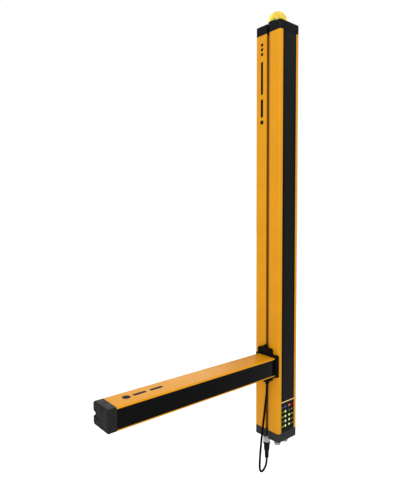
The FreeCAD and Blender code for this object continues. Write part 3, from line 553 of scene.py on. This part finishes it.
def litAndPaintedGlowLens(name, edge, core, strength):
    # each light is palest over its diode and deepens towards its rim; on a lit light this is its own glow, on
    # the unlit lens it is painted glow and a painted highlight
    finish, tree, shader = startFinish(name, edge, roughness=0.2, specular=0.3)
    blueLow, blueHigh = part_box("indicator_light_blue")
    redLow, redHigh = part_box("indicator_light_red")
    middle = (blueLow.x + blueHigh.x + redLow.x + redHigh.x) / 4
    topRow = (redLow.z + redHigh.z) / 2
    place = tree.nodes.new("ShaderNodeTexCoord")
    axes = tree.nodes.new("ShaderNodeSeparateXYZ")
    tree.links.new(place.outputs["Object"], axes.inputs["Vector"])

    def step(operation, value, second):
        worked = tree.nodes.new("ShaderNodeMath")
        worked.operation = operation
        tree.links.new(value, worked.inputs[0])
        if isinstance(second, float):
            worked.inputs[1].default_value = second
        elif second is not None:
            tree.links.new(second, worked.inputs[1])
        return worked.outputs["Value"]

    aside = step("ABSOLUTE", step("SUBTRACT", axes.outputs["X"], middle), None)
    aside = step("SUBTRACT", aside, lightGrid["column"])
    above = step("PINGPONG", step("SUBTRACT", axes.outputs["Z"], topRow), lightGrid["pitch"] / 2)
    away = step("SQRT", step("ADD", step("POWER", step("ABSOLUTE", aside, None), 2.0),
                             step("POWER", above, 2.0)), None)
    ramp = tree.nodes.new("ShaderNodeValToRGB")
    ramp.color_ramp.elements[0].position = lightGrid["coreEnds"]
    ramp.color_ramp.elements[0].color = (*core, 1)
    ramp.color_ramp.elements[1].position = lightGrid["edgeStarts"]
    ramp.color_ramp.elements[1].color = (*edge, 1)
    tree.links.new(step("DIVIDE", away, lightGrid["radius"]), ramp.inputs["Fac"])
    tree.links.new(ramp.outputs["Color"], shader.inputs["Base Color"])
    tree.links.new(ramp.outputs["Color"], shader.inputs["Emission Color"])
    shader.inputs["Emission Strength"].default_value = strength
    raiseBumps(tree, shader, cells(tree, 1800), strength=0.12, height=0.0001)
    return finish


def lampPlastic(name, colour):
    finish, tree, shader = startFinish(name, colour, roughness=0.03)
    varyColour(tree, shader, grain(tree, 120, 2), shade(colour, 0.96), shade(colour, 1.04))
    shader.inputs["Transmission Weight"].default_value = 0.80
    shader.inputs["IOR"].default_value = 1.12
    # painted glow: a faint emission in the dome's own colour brightens the dome
    shader.inputs["Emission Color"].default_value = (*colour, 1)
    shader.inputs["Emission Strength"].default_value = 0.05
    raiseBumps(tree, shader, grain(tree, 260, 1), strength=0.02, height=0.0002)
    return finish


def turnedMetal(name, colour, roughness, metal=1.0):
    finish, tree, shader = startFinish(name, colour, roughness)
    stretch = (1, 1, 14)     # fine rings across the z axis
    shader.inputs["Metallic"].default_value = metal
    varyColour(tree, shader, grain(tree, 420, 3, stretch), shade(colour, 0.86), shade(colour, 1.1))
    varyRoughness(tree, shader, grain(tree, 240, 3, stretch), roughness - 0.08, roughness + 0.1)
    raiseBumps(tree, shader, grain(tree, 700, 2, stretch), strength=0.12, height=0.00006)
    return finish


def softRubber(name, colour):
    finish, tree, shader = startFinish(name, colour, roughness=0.72, specular=0.08)
    varyColour(tree, shader, grain(tree, 420, 3), shade(colour, 0.8), shade(colour, 1.25))
    raiseBumps(tree, shader, grain(tree, 2600, 2), strength=0.18, height=0.00006)
    return finish


def circuitBoard(name, colour):
    finish, tree, shader = startFinish(name, colour, roughness=0.35)
    varyColour(tree, shader, cells(tree, 500), shade(colour, 0.8), shade(colour, 1.25), low=0.2, high=0.5)
    raiseBumps(tree, shader, grain(tree, 900, 1), strength=0.1, height=0.00004)
    return finish


def clearGlass(name, colour):
    finish, tree, shader = startFinish(name, colour, roughness=0.03)
    shader.inputs["Transmission Weight"].default_value = 0.9
    shader.inputs["IOR"].default_value = 1.49
    raiseBumps(tree, shader, grain(tree, 300, 1), strength=0.02, height=0.0001)
    return finish


def printInk(name, colour):
    finish, tree, shader = startFinish(name, colour, roughness=0.5, specular=0.08)
    varyColour(tree, shader, grain(tree, 800, 3), shade(colour, 0.85), shade(colour, 1.15))
    raiseBumps(tree, shader, grain(tree, 2200, 1), strength=0.08, height=0.00003)
    return finish


finishes = {
    "yellow_paint": powderCoat("yellowPowderCoat", (0.735, 0.310, 0.007)),
    # painted shade: the column window's edge colour is darker than its middle
    "black_window": polishedAcrylic("blackAcrylic", (0.0006, 0.0006, 0.0010), (0.0080, 0.0082, 0.0074), 0.11),
    "window_divider": powderCoat("paleDivider", (0.80, 0.56, 0.27)),
    "black_plastic": mouldedPlastic("blackMoulding", (0.0080, 0.0080, 0.0085)),
    "grey_plastic": mouldedPlastic("darkGreyMoulding", (0.0225, 0.0225, 0.0230)),
    "lamp_yellow": lampPlastic("amberDome", (0.935, 0.775, 0.235)),
    "light_green": litAndPaintedGlowLens("litGreen", (0.34, 0.52, 0.06), (0.80, 0.88, 0.45), 0.55),
    "light_red": litAndPaintedGlowLens("litRed", (0.62, 0.035, 0.025), (0.95, 0.22, 0.16), 0.45),
    "light_blue": litAndPaintedGlowLens("litBlue", (0.012, 0.040, 0.17), (0.07, 0.16, 0.50), 0.30),
    # painted glow: the unlit lens gets a faint emission and a paler core over its diode, though it gives no
    # light
    "light_unlit": litAndPaintedGlowLens("unlitLens", (0.045, 0.062, 0.020), (0.16, 0.21, 0.09), 0.10),
    "nickel": turnedMetal("nickelPlate", (0.84, 0.83, 0.81), 0.27, metal=0.78),
    "dark_steel": turnedMetal("blackOxide", (0.055, 0.055, 0.060), 0.38),
    "zinc": turnedMetal("zincPlate", (0.60, 0.62, 0.65), 0.34),
    "contact_gold": turnedMetal("contactGold", (0.80, 0.56, 0.20), 0.22),
    "seal_rubber": softRubber("blackRubber", (0.003, 0.003, 0.003)),
    "cable_jacket": mouldedPlastic("cableJacket", (0.0022, 0.0022, 0.0024), 0.45, 2400, 0.08),
    "board_green": circuitBoard("boardLacquer", (0.025, 0.22, 0.07)),
    "carrier_grey": mouldedPlastic("carrierGrey", (0.16, 0.16, 0.165)),
    "clear_lens": clearGlass("lensAcrylic", (0.93, 0.95, 0.96)),
    "diode_dark": mouldedPlastic("diodeBody", (0.55, 0.50, 0.30), 0.25),
}
extraFinishes = {            # finishes that only some faces or pieces wear
    # painted shade in front of the column's slots
    "columnYellowSlotShade": columnCoatWithSlotShade("columnCoatSlotShade", (0.735, 0.310, 0.007), coatSettings),
    # painted shade: a darker coat for the faces inside the slots
    "slotPaintedShade": powderCoat("paintedSlotShade", (0.300, 0.115, 0.0040)),
    "bracketBlack": mouldedPlastic("bracketMoulding", (0.0020, 0.0020, 0.0018), 0.38, 2600, 0.14),
    "armAcrylic": polishedAcrylic("armAcrylic", (0.0030, 0.0031, 0.0031), (0.0030, 0.0031, 0.0031), 0.12),
    # lit and shaded copies of the caps' grey moulding: the arm's end cap is painted darker and the bottom cap
    # lighter, for how light falls on each
    "armCapShadedGrey": mouldedPlastic("armCapShadedMoulding", (0.0170, 0.0170, 0.0172), 0.50),
    "bottomCapLitGrey": mouldedPlastic("bottomCapLitMoulding", (0.0300, 0.0305, 0.0300), 0.50),
    "diodeGreen": mouldedPlastic("greenDiode", (0.070, 0.52, 0.080), 0.25, 1500, 0.3),
    # painted shade: dark moulding for the rim of the badge plate
    "badgeRimShade": mouldedPlastic("badgeRimShadeMoulding", (0.0035, 0.0035, 0.0035), 0.32, 1800, 0.12),
}
slotOfNode = {part["node"]: part["material_slot"] for part in frame["record"]["subparts"]}


def paintNodes():
    for nodeName, node in frame["nodes"].items():
        node.data.materials.clear()
        node.data.materials.append(finishes[slotOfNode[nodeName]])


paintNodes()
print("finishes made")


# shells that keep the CAD form, with their small edges broken
shellSettings = {            # CAD node: (piece, width of the broken edge, smoothing angle)
    "column_housing": ("columnProfile", 0.00025, 30),
    "column_window": ("columnWindow", 0.00015, 30),
    "window_divider": ("windowDivider", 0.00015, 30),
    "indicator_panel": ("indicatorPanel", 0.00012, 30),
    "top_cap": ("topCap", 0.00030, 35),
    "bottom_cap": ("bottomCap", 0.00030, 35),
    "top_cap_seal": ("topCapSeal", 0.00010, 30),
    "bottom_cap_seal": ("bottomCapSeal", 0.00010, 30),
    "arm_housing": ("armProfile", 0.00025, 30),
    "arm_window": ("armWindow", 0.00015, 30),
    "arm_end_cap": ("armEndCap", 0.00030, 35),
    "arm_end_seal": ("armEndSeal", 0.00010, 30),
    "arm_bracket": ("armBracket", 0.00070, 35),
    "arm_bracket_seal": ("armBracketSeal", 0.00010, 30),
    "lamp_base": ("lampBase", 0.00025, 35),
    "plug_nut": ("plugNut", 0.00015, 35),
    "plug_body": ("plugBody", 0.00025, 40),
    "plug_insert": ("plugInsert", 0.00010, 35),
    "slot_nuts": ("slotNuts", 0.00030, 35),
    "socket_insert_power": ("powerInsert", 0.00012, 35),
    "socket_insert_data": ("dataInsert", 0.00012, 35),
    "socket_pins_power": ("powerPins", 0.00018, 40),
    "socket_pins_data": ("dataPins", 0.00018, 40),
}
shells = {}


def makeShells(settings):
    for nodeName, (name, width, degrees) in settings.items():
        shell = mergedCopy(nodeName, name)
        roundEdges(shell, width)
        smooth(shell, degrees)
        shells[nodeName] = finishAs(shell, slotOfNode[nodeName], nodeName)


def dressFaces(piece, finishName, wanted):
    # a second finish on some of the faces
    piece.data.materials.append(extraFinishes[finishName])
    selectFaces(piece, wanted)
    piece.active_material_index = len(piece.data.materials) - 1
    bpy.ops.object.material_slot_assign()
    endEdit()


def wearFinish(piece, finishName):
    piece.data.materials.clear()
    piece.data.materials.append(extraFinishes[finishName])


makeShells(shellSettings)
slotSettings = {             # where painted shade lies inside the slots: a darker coat on the slot faces stands in for the shade in them
    "paintReach": 0.0018,    # how far the full coat reaches into a slot
    "column": (-0.0420, -0.0180),      # the slots lie between these two y
    "armDepth": 0.0160,      # from the arm's rear face
    "armHalfWidth": 0.0120,
}
# the column wears the coat with painted shade in front of its slots
wearFinish(shells["column_housing"], "columnYellowSlotShade")
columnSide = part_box("column_housing")[1].x
# painted shade on the faces inside the column's and the arm's slots
dressFaces(shells["column_housing"], "slotPaintedShade",
           lambda centre, normal: abs(centre.x) < columnSide - slotSettings["paintReach"]
           and slotSettings["column"][0] < centre.y < slotSettings["column"][1])
armLow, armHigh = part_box("arm_housing")
dressFaces(shells["arm_housing"], "slotPaintedShade",
           lambda centre, normal: slotSettings["paintReach"] < armHigh.y - centre.y < slotSettings["armDepth"]
           and abs(centre.z - (armLow.z + armHigh.z) / 2) < slotSettings["armHalfWidth"])
wearFinish(shells["arm_bracket"], "bracketBlack")
wearFinish(shells["arm_window"], "armAcrylic")
# painted light: a darker and a lighter copy of the grey moulding on the arm's end cap and the bottom cap
wearFinish(shells["arm_end_cap"], "armCapShadedGrey")
wearFinish(shells["bottom_cap"], "bottomCapLitGrey")
print("shells dressed")


# badge plate, left plain, in the recess of the arm's end
badgeSettings = {
    "centre": (-0.0270, 0.1458),   # y, and height above the underside of the bottom cap
    "size": (0.0136, 0.0121),      # along y and z
    "recess": 0.0008,
    "thickness": 0.00055,
    "corner": 0.0010,
    "shadeRim": 0.0007,        # painted shade: a dark rim round the sunk field stands in for the shade at the edge of the recess
    "step": 0.0001,
    "sink": 0.00020,
}


def makeBadge(settings):
    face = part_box("arm_end_cap")[0].x + settings["recess"]
    plate = printedBar("badgePlate", *settings["size"], settings["corner"], settings["thickness"])
    # painted shade: the plate's dark rim, with its inner field in the end cap's grey
    addAs(plate, extraFinishes["badgeRimShade"])
    plate.data.materials.append(extraFinishes["armCapShadedGrey"])
    selectFaces(plate, lambda centre, normal: normal.z > 0.9)
    bpy.ops.mesh.inset(thickness=settings["shadeRim"], depth=0)
    bpy.ops.mesh.inset(thickness=settings["step"], depth=-settings["sink"])
    plate.active_material_index = 1
    bpy.ops.object.material_slot_assign()
    endEdit()
    smooth(plate, degrees=20)
    y, height = settings["centre"]
    laidOn(plate, (face, y, height + capUnderside), (0, -1, 0), (-1, 0, 0))


makeBadge(badgeSettings)


collarSettings = {"top": -0.0146}      # height, counted from the underside of the bottom cap


def blackenCollar(nut, height):
    # the moulded grip covers the lower end of the plug's nut
    startEdit(nut)
    bpy.ops.mesh.bisect(plane_co=(0, 0, height), plane_no=(0, 0, 1))
    endEdit()
    nut.data.materials.append(finishes["black_plastic"])
    selectFaces(nut, lambda centre, normal: centre.z < height)
    nut.active_material_index = 1
    bpy.ops.object.material_slot_assign()
    endEdit()


blackenCollar(shells["plug_nut"], capUnderside + collarSettings["top"])
print("badge and plug dressed")


# signal lamp
domeSettings = {
    "wall": 0.0016,
    "skirt": 0.0034,         # straight part below the half ball
    "steps": 72,
    "arcSteps": 18,
    "firstAngle": 6,         # the outer curve starts this many degrees above the straight part
}


def makeDome(settings):
    low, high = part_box("lamp_dome")
    radius = (high.x - low.x) / 2
    inner = radius - settings["wall"]
    straightTop = high.z - radius
    rim = straightTop - settings["skirt"]
    outline = [(inner, low.z), (inner, rim), (radius, rim), (radius, straightTop)]
    outline += arcPoints(0, straightTop, radius, settings["firstAngle"], 90, settings["arcSteps"])
    outline += arcPoints(0, straightTop, inner, 90, 0, settings["arcSteps"])
    outline += [(inner - settings["wall"], rim), (inner - settings["wall"], low.z), (inner, low.z)]
    dome = spun("lampDome", outline, settings["steps"])
    dome.data.transform(Matrix.Translation(Vector((0, (low.y + high.y) / 2, 0))))
    smooth(dome, degrees=30)
    return finishAs(dome, "lamp_yellow", "lamp_dome")


makeDome(domeSettings)

ledSettings = {
    "radius": 0.0025,
    "top": 0.0104,
    "collar": 0.0029,
    "collarHeight": 0.0012,
    "steps": 28,
    "arcSteps": 8,
    "firstAngle": 10,
}


def makeLeds(settings):
    # green diodes that stand on the lamp's board
    diodes = []
    for low, high in solidBoxes("lamp_leds"):
        radius = settings["radius"]
        shoulder = settings["top"] - radius
        outline = [(0, 0), (settings["collar"], 0), (settings["collar"], settings["collarHeight"]),
                   (radius, settings["collarHeight"]), (radius, shoulder)]
        outline += arcPoints(0, shoulder, radius, settings["firstAngle"], 90, settings["arcSteps"])
        diode = spun("diode", outline, settings["steps"])
        smooth(diode, degrees=35)
        middle = (low + high) / 2
        diodes.append(aimed(diode, (middle.x, middle.y, low.z), (0, 0, 1)))
    group = finishAs(joinAs("lampDiodes", diodes), "diode_dark", "lamp_leds")
    wearFinish(group, "diodeGreen")


makeLeds(ledSettings)
print("lamp made")


# indicator lights
lightSettings = {
    "rim": 0.00012,          # rounding where the lens leaves the panel
    "dome": 0.0005,          # height of its domed face
    "steps": 32,
    "arcSteps": 8,
    "groups": {              # CAD node: piece
        "indicator_light_blue": "blueLight",
        "indicator_light_red": "redLight",
        "indicator_light_unlit": "unlitLight",
        "indicator_lights_green": "greenLights",
    },
}


def makeLight(low, high, settings):
    # a clear rod with a domed face that looks along -Y
    radius = (high.x - low.x) / 2
    length = high.y - low.y
    dome = settings["dome"]
    ball = (radius ** 2 + dome ** 2) / (2 * dome)
    edge = math.degrees(math.asin((radius - settings["rim"]) / ball))
    outline = [(0, 0), (radius, 0), (radius, length - dome - settings["rim"])]
    outline += arcPoints(0, length - ball, ball, 90 - edge, 90, settings["arcSteps"])
    rod = spun("light", outline, settings["steps"])
    smooth(rod, degrees=40)
    return aimed(rod, ((low.x + high.x) / 2, high.y, (low.z + high.z) / 2), (0, -1, 0))


def makeLights(settings):
    for nodeName, name in settings["groups"].items():
        rods = [makeLight(low, high, settings) for low, high in solidBoxes(nodeName)]
        finishAs(joinAs(name, rods), slotOfNode[nodeName], nodeName)


makeLights(lightSettings)
print("indicator lights made")


# printed marks
labelSettings = {            # short bars beside the lights, in place of words
    "height": 0.00125,
    "corner": 0.0003,
    "proud": 0.00004,
    "gap": 0.0007,
    "leftEdge": -0.0166,
    "rightEdge": 0.0085,
    "inks": {
        "blueInk": (0.05, 0.12, 0.42), "greenInk": (0.10, 0.34, 0.05), "redInk": (0.42, 0.04, 0.03),
        "greyInk": (0.22, 0.23, 0.22), "limeInk": (0.42, 0.55, 0.12),
    },
    "left": [                # top row first: ink and the lengths of its bars
        ("blueInk", (0.0034, 0.0022)), ("greenInk", (0.0026, 0.0034)), ("limeInk", (0.0040, 0.0018)),
        ("greenInk", (0.0022, 0.0030)), ("limeInk", (0.0032, 0.0026)),
    ],
    "right": [
        ("redInk", (0.0030, 0.0034)), ("greenInk", (0.0040, 0.0024)), ("limeInk", (0.0024, 0.0040)),
        ("greyInk", (0.0034, 0.0028)), ("greyInk", (0.0026, 0.0036)),
    ],
}


def makeLabels(settings):
    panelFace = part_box("indicator_panel")[0].y
    rows = sorted({round((low.z + high.z) / 2, 5) for low, high in solidBoxes("indicator_lights_green")})
    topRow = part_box("indicator_light_blue")
    rows.append(round((topRow[0].z + topRow[1].z) / 2, 5))
    rows.sort(reverse=True)
    bars = {}
    for side in ("left", "right"):
        for height, (ink, lengths) in zip(rows, settings[side]):
            start = settings[side + "Edge"]
            for length in lengths:
                bar = printedBar("labelBar", length, settings["height"], settings["corner"],
                                 settings["proud"])
                laidOn(bar, (start + length / 2, panelFace, height), (1, 0, 0), (0, -1, 0))
                bars.setdefault(ink, []).append(bar)
                start += length + settings["gap"]
    for ink, parts in bars.items():
        addAs(joinAs(ink + "Labels", parts), printInk(ink, settings["inks"][ink]))


makeLabels(labelSettings)

markSettings = {             # plain black discs and bars where the maker's print would be
    "proud": 0.00005,
    "ink": (0.003, 0.003, 0.003),
    "corner": 0.49,          # as a share of the width, so the ends are round
    "rearStep": 0.0006,      # the column's rear half is set in by this much
    "armBars": [             # distance of the middle from the column's side, length, width
        (0.3000, 0.0125, 0.0125), (0.2780, 0.0230, 0.0065), (0.2490, 0.0230, 0.0065),
    ],
    "armMiddle": 0.0005,
    "columnBars": [          # height above the underside of the bottom cap, length, width
        (0.596, 0.0080, 0.0080), (0.6215, 0.0340, 0.0058), (0.6760, 0.0600, 0.0052),
        (0.7190, 0.0060, 0.0060), (0.7275, 0.0060, 0.0060), (0.7360, 0.0060, 0.0060),
    ],
    "columnMiddle": -0.0150,
}


def makeMarks(settings):
    armLow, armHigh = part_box("arm_housing")
    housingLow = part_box("column_housing")[0]
    marks = []
    for reach, length, width in settings["armBars"]:
        bar = printedBar("markBar", length, width, width * settings["corner"], settings["proud"])
        middle = (armLow.y + armHigh.y) / 2 + settings["armMiddle"]
        marks.append(laidOn(bar, (housingLow.x - reach, middle, armHigh.z), (1, 0, 0), (0, 0, 1)))
    rearSide = housingLow.x + settings["rearStep"]
    for height, length, width in settings["columnBars"]:
        bar = printedBar("markBar", length, width, width * settings["corner"], settings["proud"])
        place = (rearSide, settings["columnMiddle"], height + capUnderside)
        marks.append(laidOn(bar, place, (0, 0, 1), (-1, 0, 0)))
    addAs(joinAs("plainMarks", marks), printInk("blackInk", settings["ink"]))


makeMarks(markSettings)
print("printed marks made")


# screws
screwSettings = {
    "smallSize": {"headRadius": 0.0030, "headHeight": 0.0020, "shank": 0.0015, "flats": 0.0020},
    "bracketSize": {"headRadius": 0.0035, "headHeight": 0.0040, "shank": 0.0020, "flats": 0.0030},
    "crown": [               # outline of the head's top, as shares of its radius and height
        (1, 0.6375), (0.965, 0.75), (0.86, 0.94), (0.74, 1),
    ],
    "tip": (0.8, 0.3),       # chamfer at the tip: shares of the shank's radius
    "socketDepth": 0.6,      # as a share of the head's height
    "edge": 0.0001,
    "steps": 40,
    "groups": {              # CAD node: piece, direction the head looks, size
        "top_cap_screws": ("topCapScrews", (0, 0, 1), "smallSize"),
        "bottom_cap_screws": ("bottomCapScrews", (0, 0, -1), "smallSize"),
        "arm_end_screws": ("armEndScrews", (-1, 0, 0), "smallSize"),
        "bracket_screws": ("bracketScrews", (-1, 0, 0), "bracketSize"),
    },
}


def makeScrew(length, size, settings):
    # stands with the seat of its head at z = 0 and its tip at z = -length
    shank, headRadius, headHeight = size["shank"], size["headRadius"], size["headHeight"]
    narrow, rise = settings["tip"]
    outline = [(0, -length), (shank * narrow, -length), (shank, -length + shank * rise), (shank, 0),
               (headRadius, 0)]
    outline += [(headRadius * across, headHeight * up) for across, up in settings["crown"]]
    outline.append((0, headHeight))
    screw = spun("screw", outline, settings["steps"])
    bpy.ops.mesh.primitive_cylinder_add(vertices=6, radius=size["flats"] / math.sqrt(3),
                                        depth=headHeight * settings["socketDepth"] * 2,
                                        location=(0, 0, headHeight))
    carve(screw, bpy.context.object)
    roundEdges(screw, settings["edge"], degrees=50)
    smooth(screw, degrees=32)
    return screw


def makeScrews(settings):
    for nodeName, (name, direction, sizeName) in settings["groups"].items():
        size = settings[sizeName]
        aim = Vector(direction)
        copies = []
        for low, high in solidBoxes(nodeName):
            middle = (low + high) / 2
            span = abs(aim.dot(high - low))
            seat = middle + aim * (span / 2 - size["headHeight"])
            screw = makeScrew(span - size["headHeight"], size, settings)
            copies.append(aimed(screw, seat, aim))
        finishAs(joinAs(name, copies), slotOfNode[nodeName], nodeName)


makeScrews(screwSettings)
print("screws made")


# connectors under the bottom cap
socketSettings = {
    "bore": 0.0049,
    "crest": 0.0060,         # radii of the thread
    "root": 0.00545,
    "neck": 0.00015,         # how far the run-out between thread and nut stands above the root
    "neckRise": 0.0001,
    "pitch": 0.0010,
    "turns": 7,
    "threadSteps": 36,
    "threadSink": 0.0002,    # how far the ridge's foot is sunk into the barrel
    "threadSection": (0.02, 0.44, 0.56, 0.98),      # foot, crest, crest, foot, as shares of the pitch
    "relief": 0.0030,        # heights below the underside of the cap
    "reach": 0.0105,
    "innerLip": (0.00015, 0.0002),      # chamfers of the open end: radial, axial
    "outerLip": (0.00025, 0.0003),
    "threadStart": 0.0002,
    "capInside": 0.004,
    "flangeRadius": 0.0069,
    "flangeHeight": 0.0025,
    "barrelEdge": 0.00008,
    "barrelSteps": 60,
    "nutFlats": 0.0145,
    "nutHeight": 0.0024,
    "nutEdge": 0.0001,
    "nutClearance": 0.00005,
    "chamferStart": 1.01,    # as a share of half the distance across the flats
    "chamferSlope": 0.5,
    "cutterMargin": 0.002,   # how far the chamfer's cutter reaches past the nut's corners
    "cutterDrop": 0.0002,
    "cutterSteps": 48,
}


def makeThread(settings, bottom):
    # one blunt ridge swept up a helix
    pitch, root, crest = settings["pitch"], settings["root"], settings["crest"]
    sunk = root - settings["threadSink"]
    foot, crestLow, crestHigh, top = settings["threadSection"]
    section = [(sunk, foot), (root, foot), (crest, crestLow), (crest, crestHigh), (root, top), (sunk, top)]
    bpy.ops.mesh.primitive_plane_add(size=0.001, location=(0, 0, 0))
    ridge = bpy.context.object
    startEdit(ridge)
    bpy.ops.mesh.merge(type="CENTER")
    bpy.ops.transform.translate(value=(sunk, 0, foot * pitch))
    for (x, z), (nextX, nextZ) in zip(section, section[1:] + section[:1]):
        step = (nextX - x, 0, (nextZ - z) * pitch)
        bpy.ops.mesh.extrude_region_move(TRANSFORM_OT_translate={"value": step})
    bpy.ops.mesh.select_all(action="SELECT")
    bpy.ops.mesh.remove_doubles(threshold=weldDistance["thread"])
    endEdit()
    sweep = ridge.modifiers.new("thread", "SCREW")
    sweep.axis = "Z"
    sweep.screw_offset = pitch
    sweep.iterations = settings["turns"]
    sweep.steps = sweep.render_steps = settings["threadSteps"]
    sweep.angle = 2 * math.pi
    sweep.use_smooth_shade = False
    pickOnly(ridge)
    bpy.ops.object.modifier_apply(modifier=sweep.name)
    ridge.data.transform(Matrix.Translation(Vector((0, 0, bottom))))
    startEdit(ridge)
    bpy.ops.mesh.fill_holes(sides=0)
    bpy.ops.mesh.select_all(action="SELECT")
    bpy.ops.mesh.normals_make_consistent(inside=False)
    endEdit()
    return ridge


def makeShell(name, place, settings):
    root, crest, bore = settings["root"], settings["crest"], settings["bore"]
    low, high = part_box("socket_shell_" + place)
    end, relief, nutLow = -settings["reach"], -settings["relief"], -settings["nutHeight"]
    (innerAcross, innerUp), (outerAcross, outerUp) = settings["innerLip"], settings["outerLip"]
    neck = root + settings["neck"]
    flange, flangeLow = settings["flangeRadius"], settings["capInside"]
    flangeHigh = flangeLow + settings["flangeHeight"]
    top = high.z - capUnderside
    outline = [(bore, end + innerUp), (bore + innerAcross, end), (root - outerAcross, end),
               (root, end + outerUp), (root, relief), (neck, relief + settings["neckRise"]), (neck, nutLow),
               (crest, nutLow), (crest, flangeLow), (flange, flangeLow), (flange, flangeHigh),
               (crest, flangeHigh), (crest, top), (bore, top), (bore, end + innerUp)]
    barrel = spun(name, outline, settings["barrelSteps"])
    roundEdges(barrel, settings["barrelEdge"], degrees=50)
    ridge = makeThread(settings, end + settings["threadStart"])
    shell = joinAs(name, [barrel, ridge])
    smooth(shell, degrees=32)
    middle = (low + high) / 2
    shell.data.transform(Matrix.Translation(Vector((middle.x, middle.y, capUnderside))))
    finishAs(shell, "nickel", "socket_shell_" + place)


def makeLockNut(place, settings):
    # a hexagon nut with its lower corners chamfered and a clear hole
    height = settings["nutHeight"]
    radius = settings["nutFlats"] / math.sqrt(3)
    low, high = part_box("socket_nut_" + place)
    middle = (low + high) / 2
    bpy.ops.mesh.primitive_cylinder_add(vertices=6, radius=radius, depth=height,
                                        location=(0, 0, -height / 2))
    nut = bpy.context.object
    applyPlace(nut)
    inner = settings["nutFlats"] / 2 * settings["chamferStart"]
    outer = radius + settings["cutterMargin"]
    bottom = -height - settings["cutterDrop"]
    chamferTop = -height + (outer - inner) * settings["chamferSlope"]
    outline = [(inner, bottom), (outer, bottom), (outer, chamferTop), (inner, bottom)]
    carve(nut, spun("chamfer", outline, settings["cutterSteps"]))
    bpy.ops.mesh.primitive_cylinder_add(vertices=settings["barrelSteps"],
                                        radius=settings["crest"] + settings["nutClearance"],
                                        depth=height * 3, location=(0, 0, -height / 2))
    carve(nut, bpy.context.object)
    roundEdges(nut, settings["nutEdge"])
    smooth(nut, degrees=30)
    turned = high.x - low.x < high.y - low.y      # the nut's flats follow those of the CAD node
    turn = Matrix.Rotation(math.radians(30 if turned else 0), 4, "Z")
    nut.data.transform(Matrix.Translation(Vector((middle.x, middle.y, capUnderside))) @ turn)
    finishAs(nut, "nickel", "socket_nut_" + place)


for place in ("arm", "power", "data"):
    makeShell(place + "Socket", place, socketSettings)
    makeLockNut(place, socketSettings)
print("connectors made")


# cable gland under the bracket
glandSettings = {
    "grooves": 3,
    "grooveDepth": 0.00045,
    "grooveStart": 0.25,     # how far each groove sits below its share of the height
    "grooveOutline": (-0.0004, -0.0001, 0.0003, 0.0006),      # heights round a groove's middle
    "foot": (0.86, 0.92, 0.0004),      # two shares of the radius, and the chamfer's height
    "steps": 40,
}


def makeGland(settings):
    low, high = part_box("cable_gland")
    radius = (high.x - low.x) / 2
    height = high.z - low.z
    bore = cableSettings["diameter"] / 2
    footInner, footOuter, footRise = settings["foot"]
    floor = radius - settings["grooveDepth"]
    start, sink, rise, end = settings["grooveOutline"]
    outline = [(bore, 0), (radius * footInner, 0), (radius * footOuter, footRise)]
    pitch = height / (settings["grooves"] + 1)
    for i in range(1, settings["grooves"] + 1):
        middle = pitch * (i - settings["grooveStart"])
        outline += [(radius, middle + start), (floor, middle + sink), (floor, middle + rise),
                    (radius, middle + end)]
    outline += [(radius, height), (bore, height), (bore, 0)]
    gland = spun("cableGland", outline, settings["steps"])
    smooth(gland, degrees=32)
    middle = (low + high) / 2
    gland.data.transform(Matrix.Translation(Vector((middle.x, middle.y, low.z))))
    finishAs(gland, "seal_rubber", "cable_gland")


makeGland(glandSettings)
print("gland made")

finishAs(cable, "cable_jacket", "patch_cable")
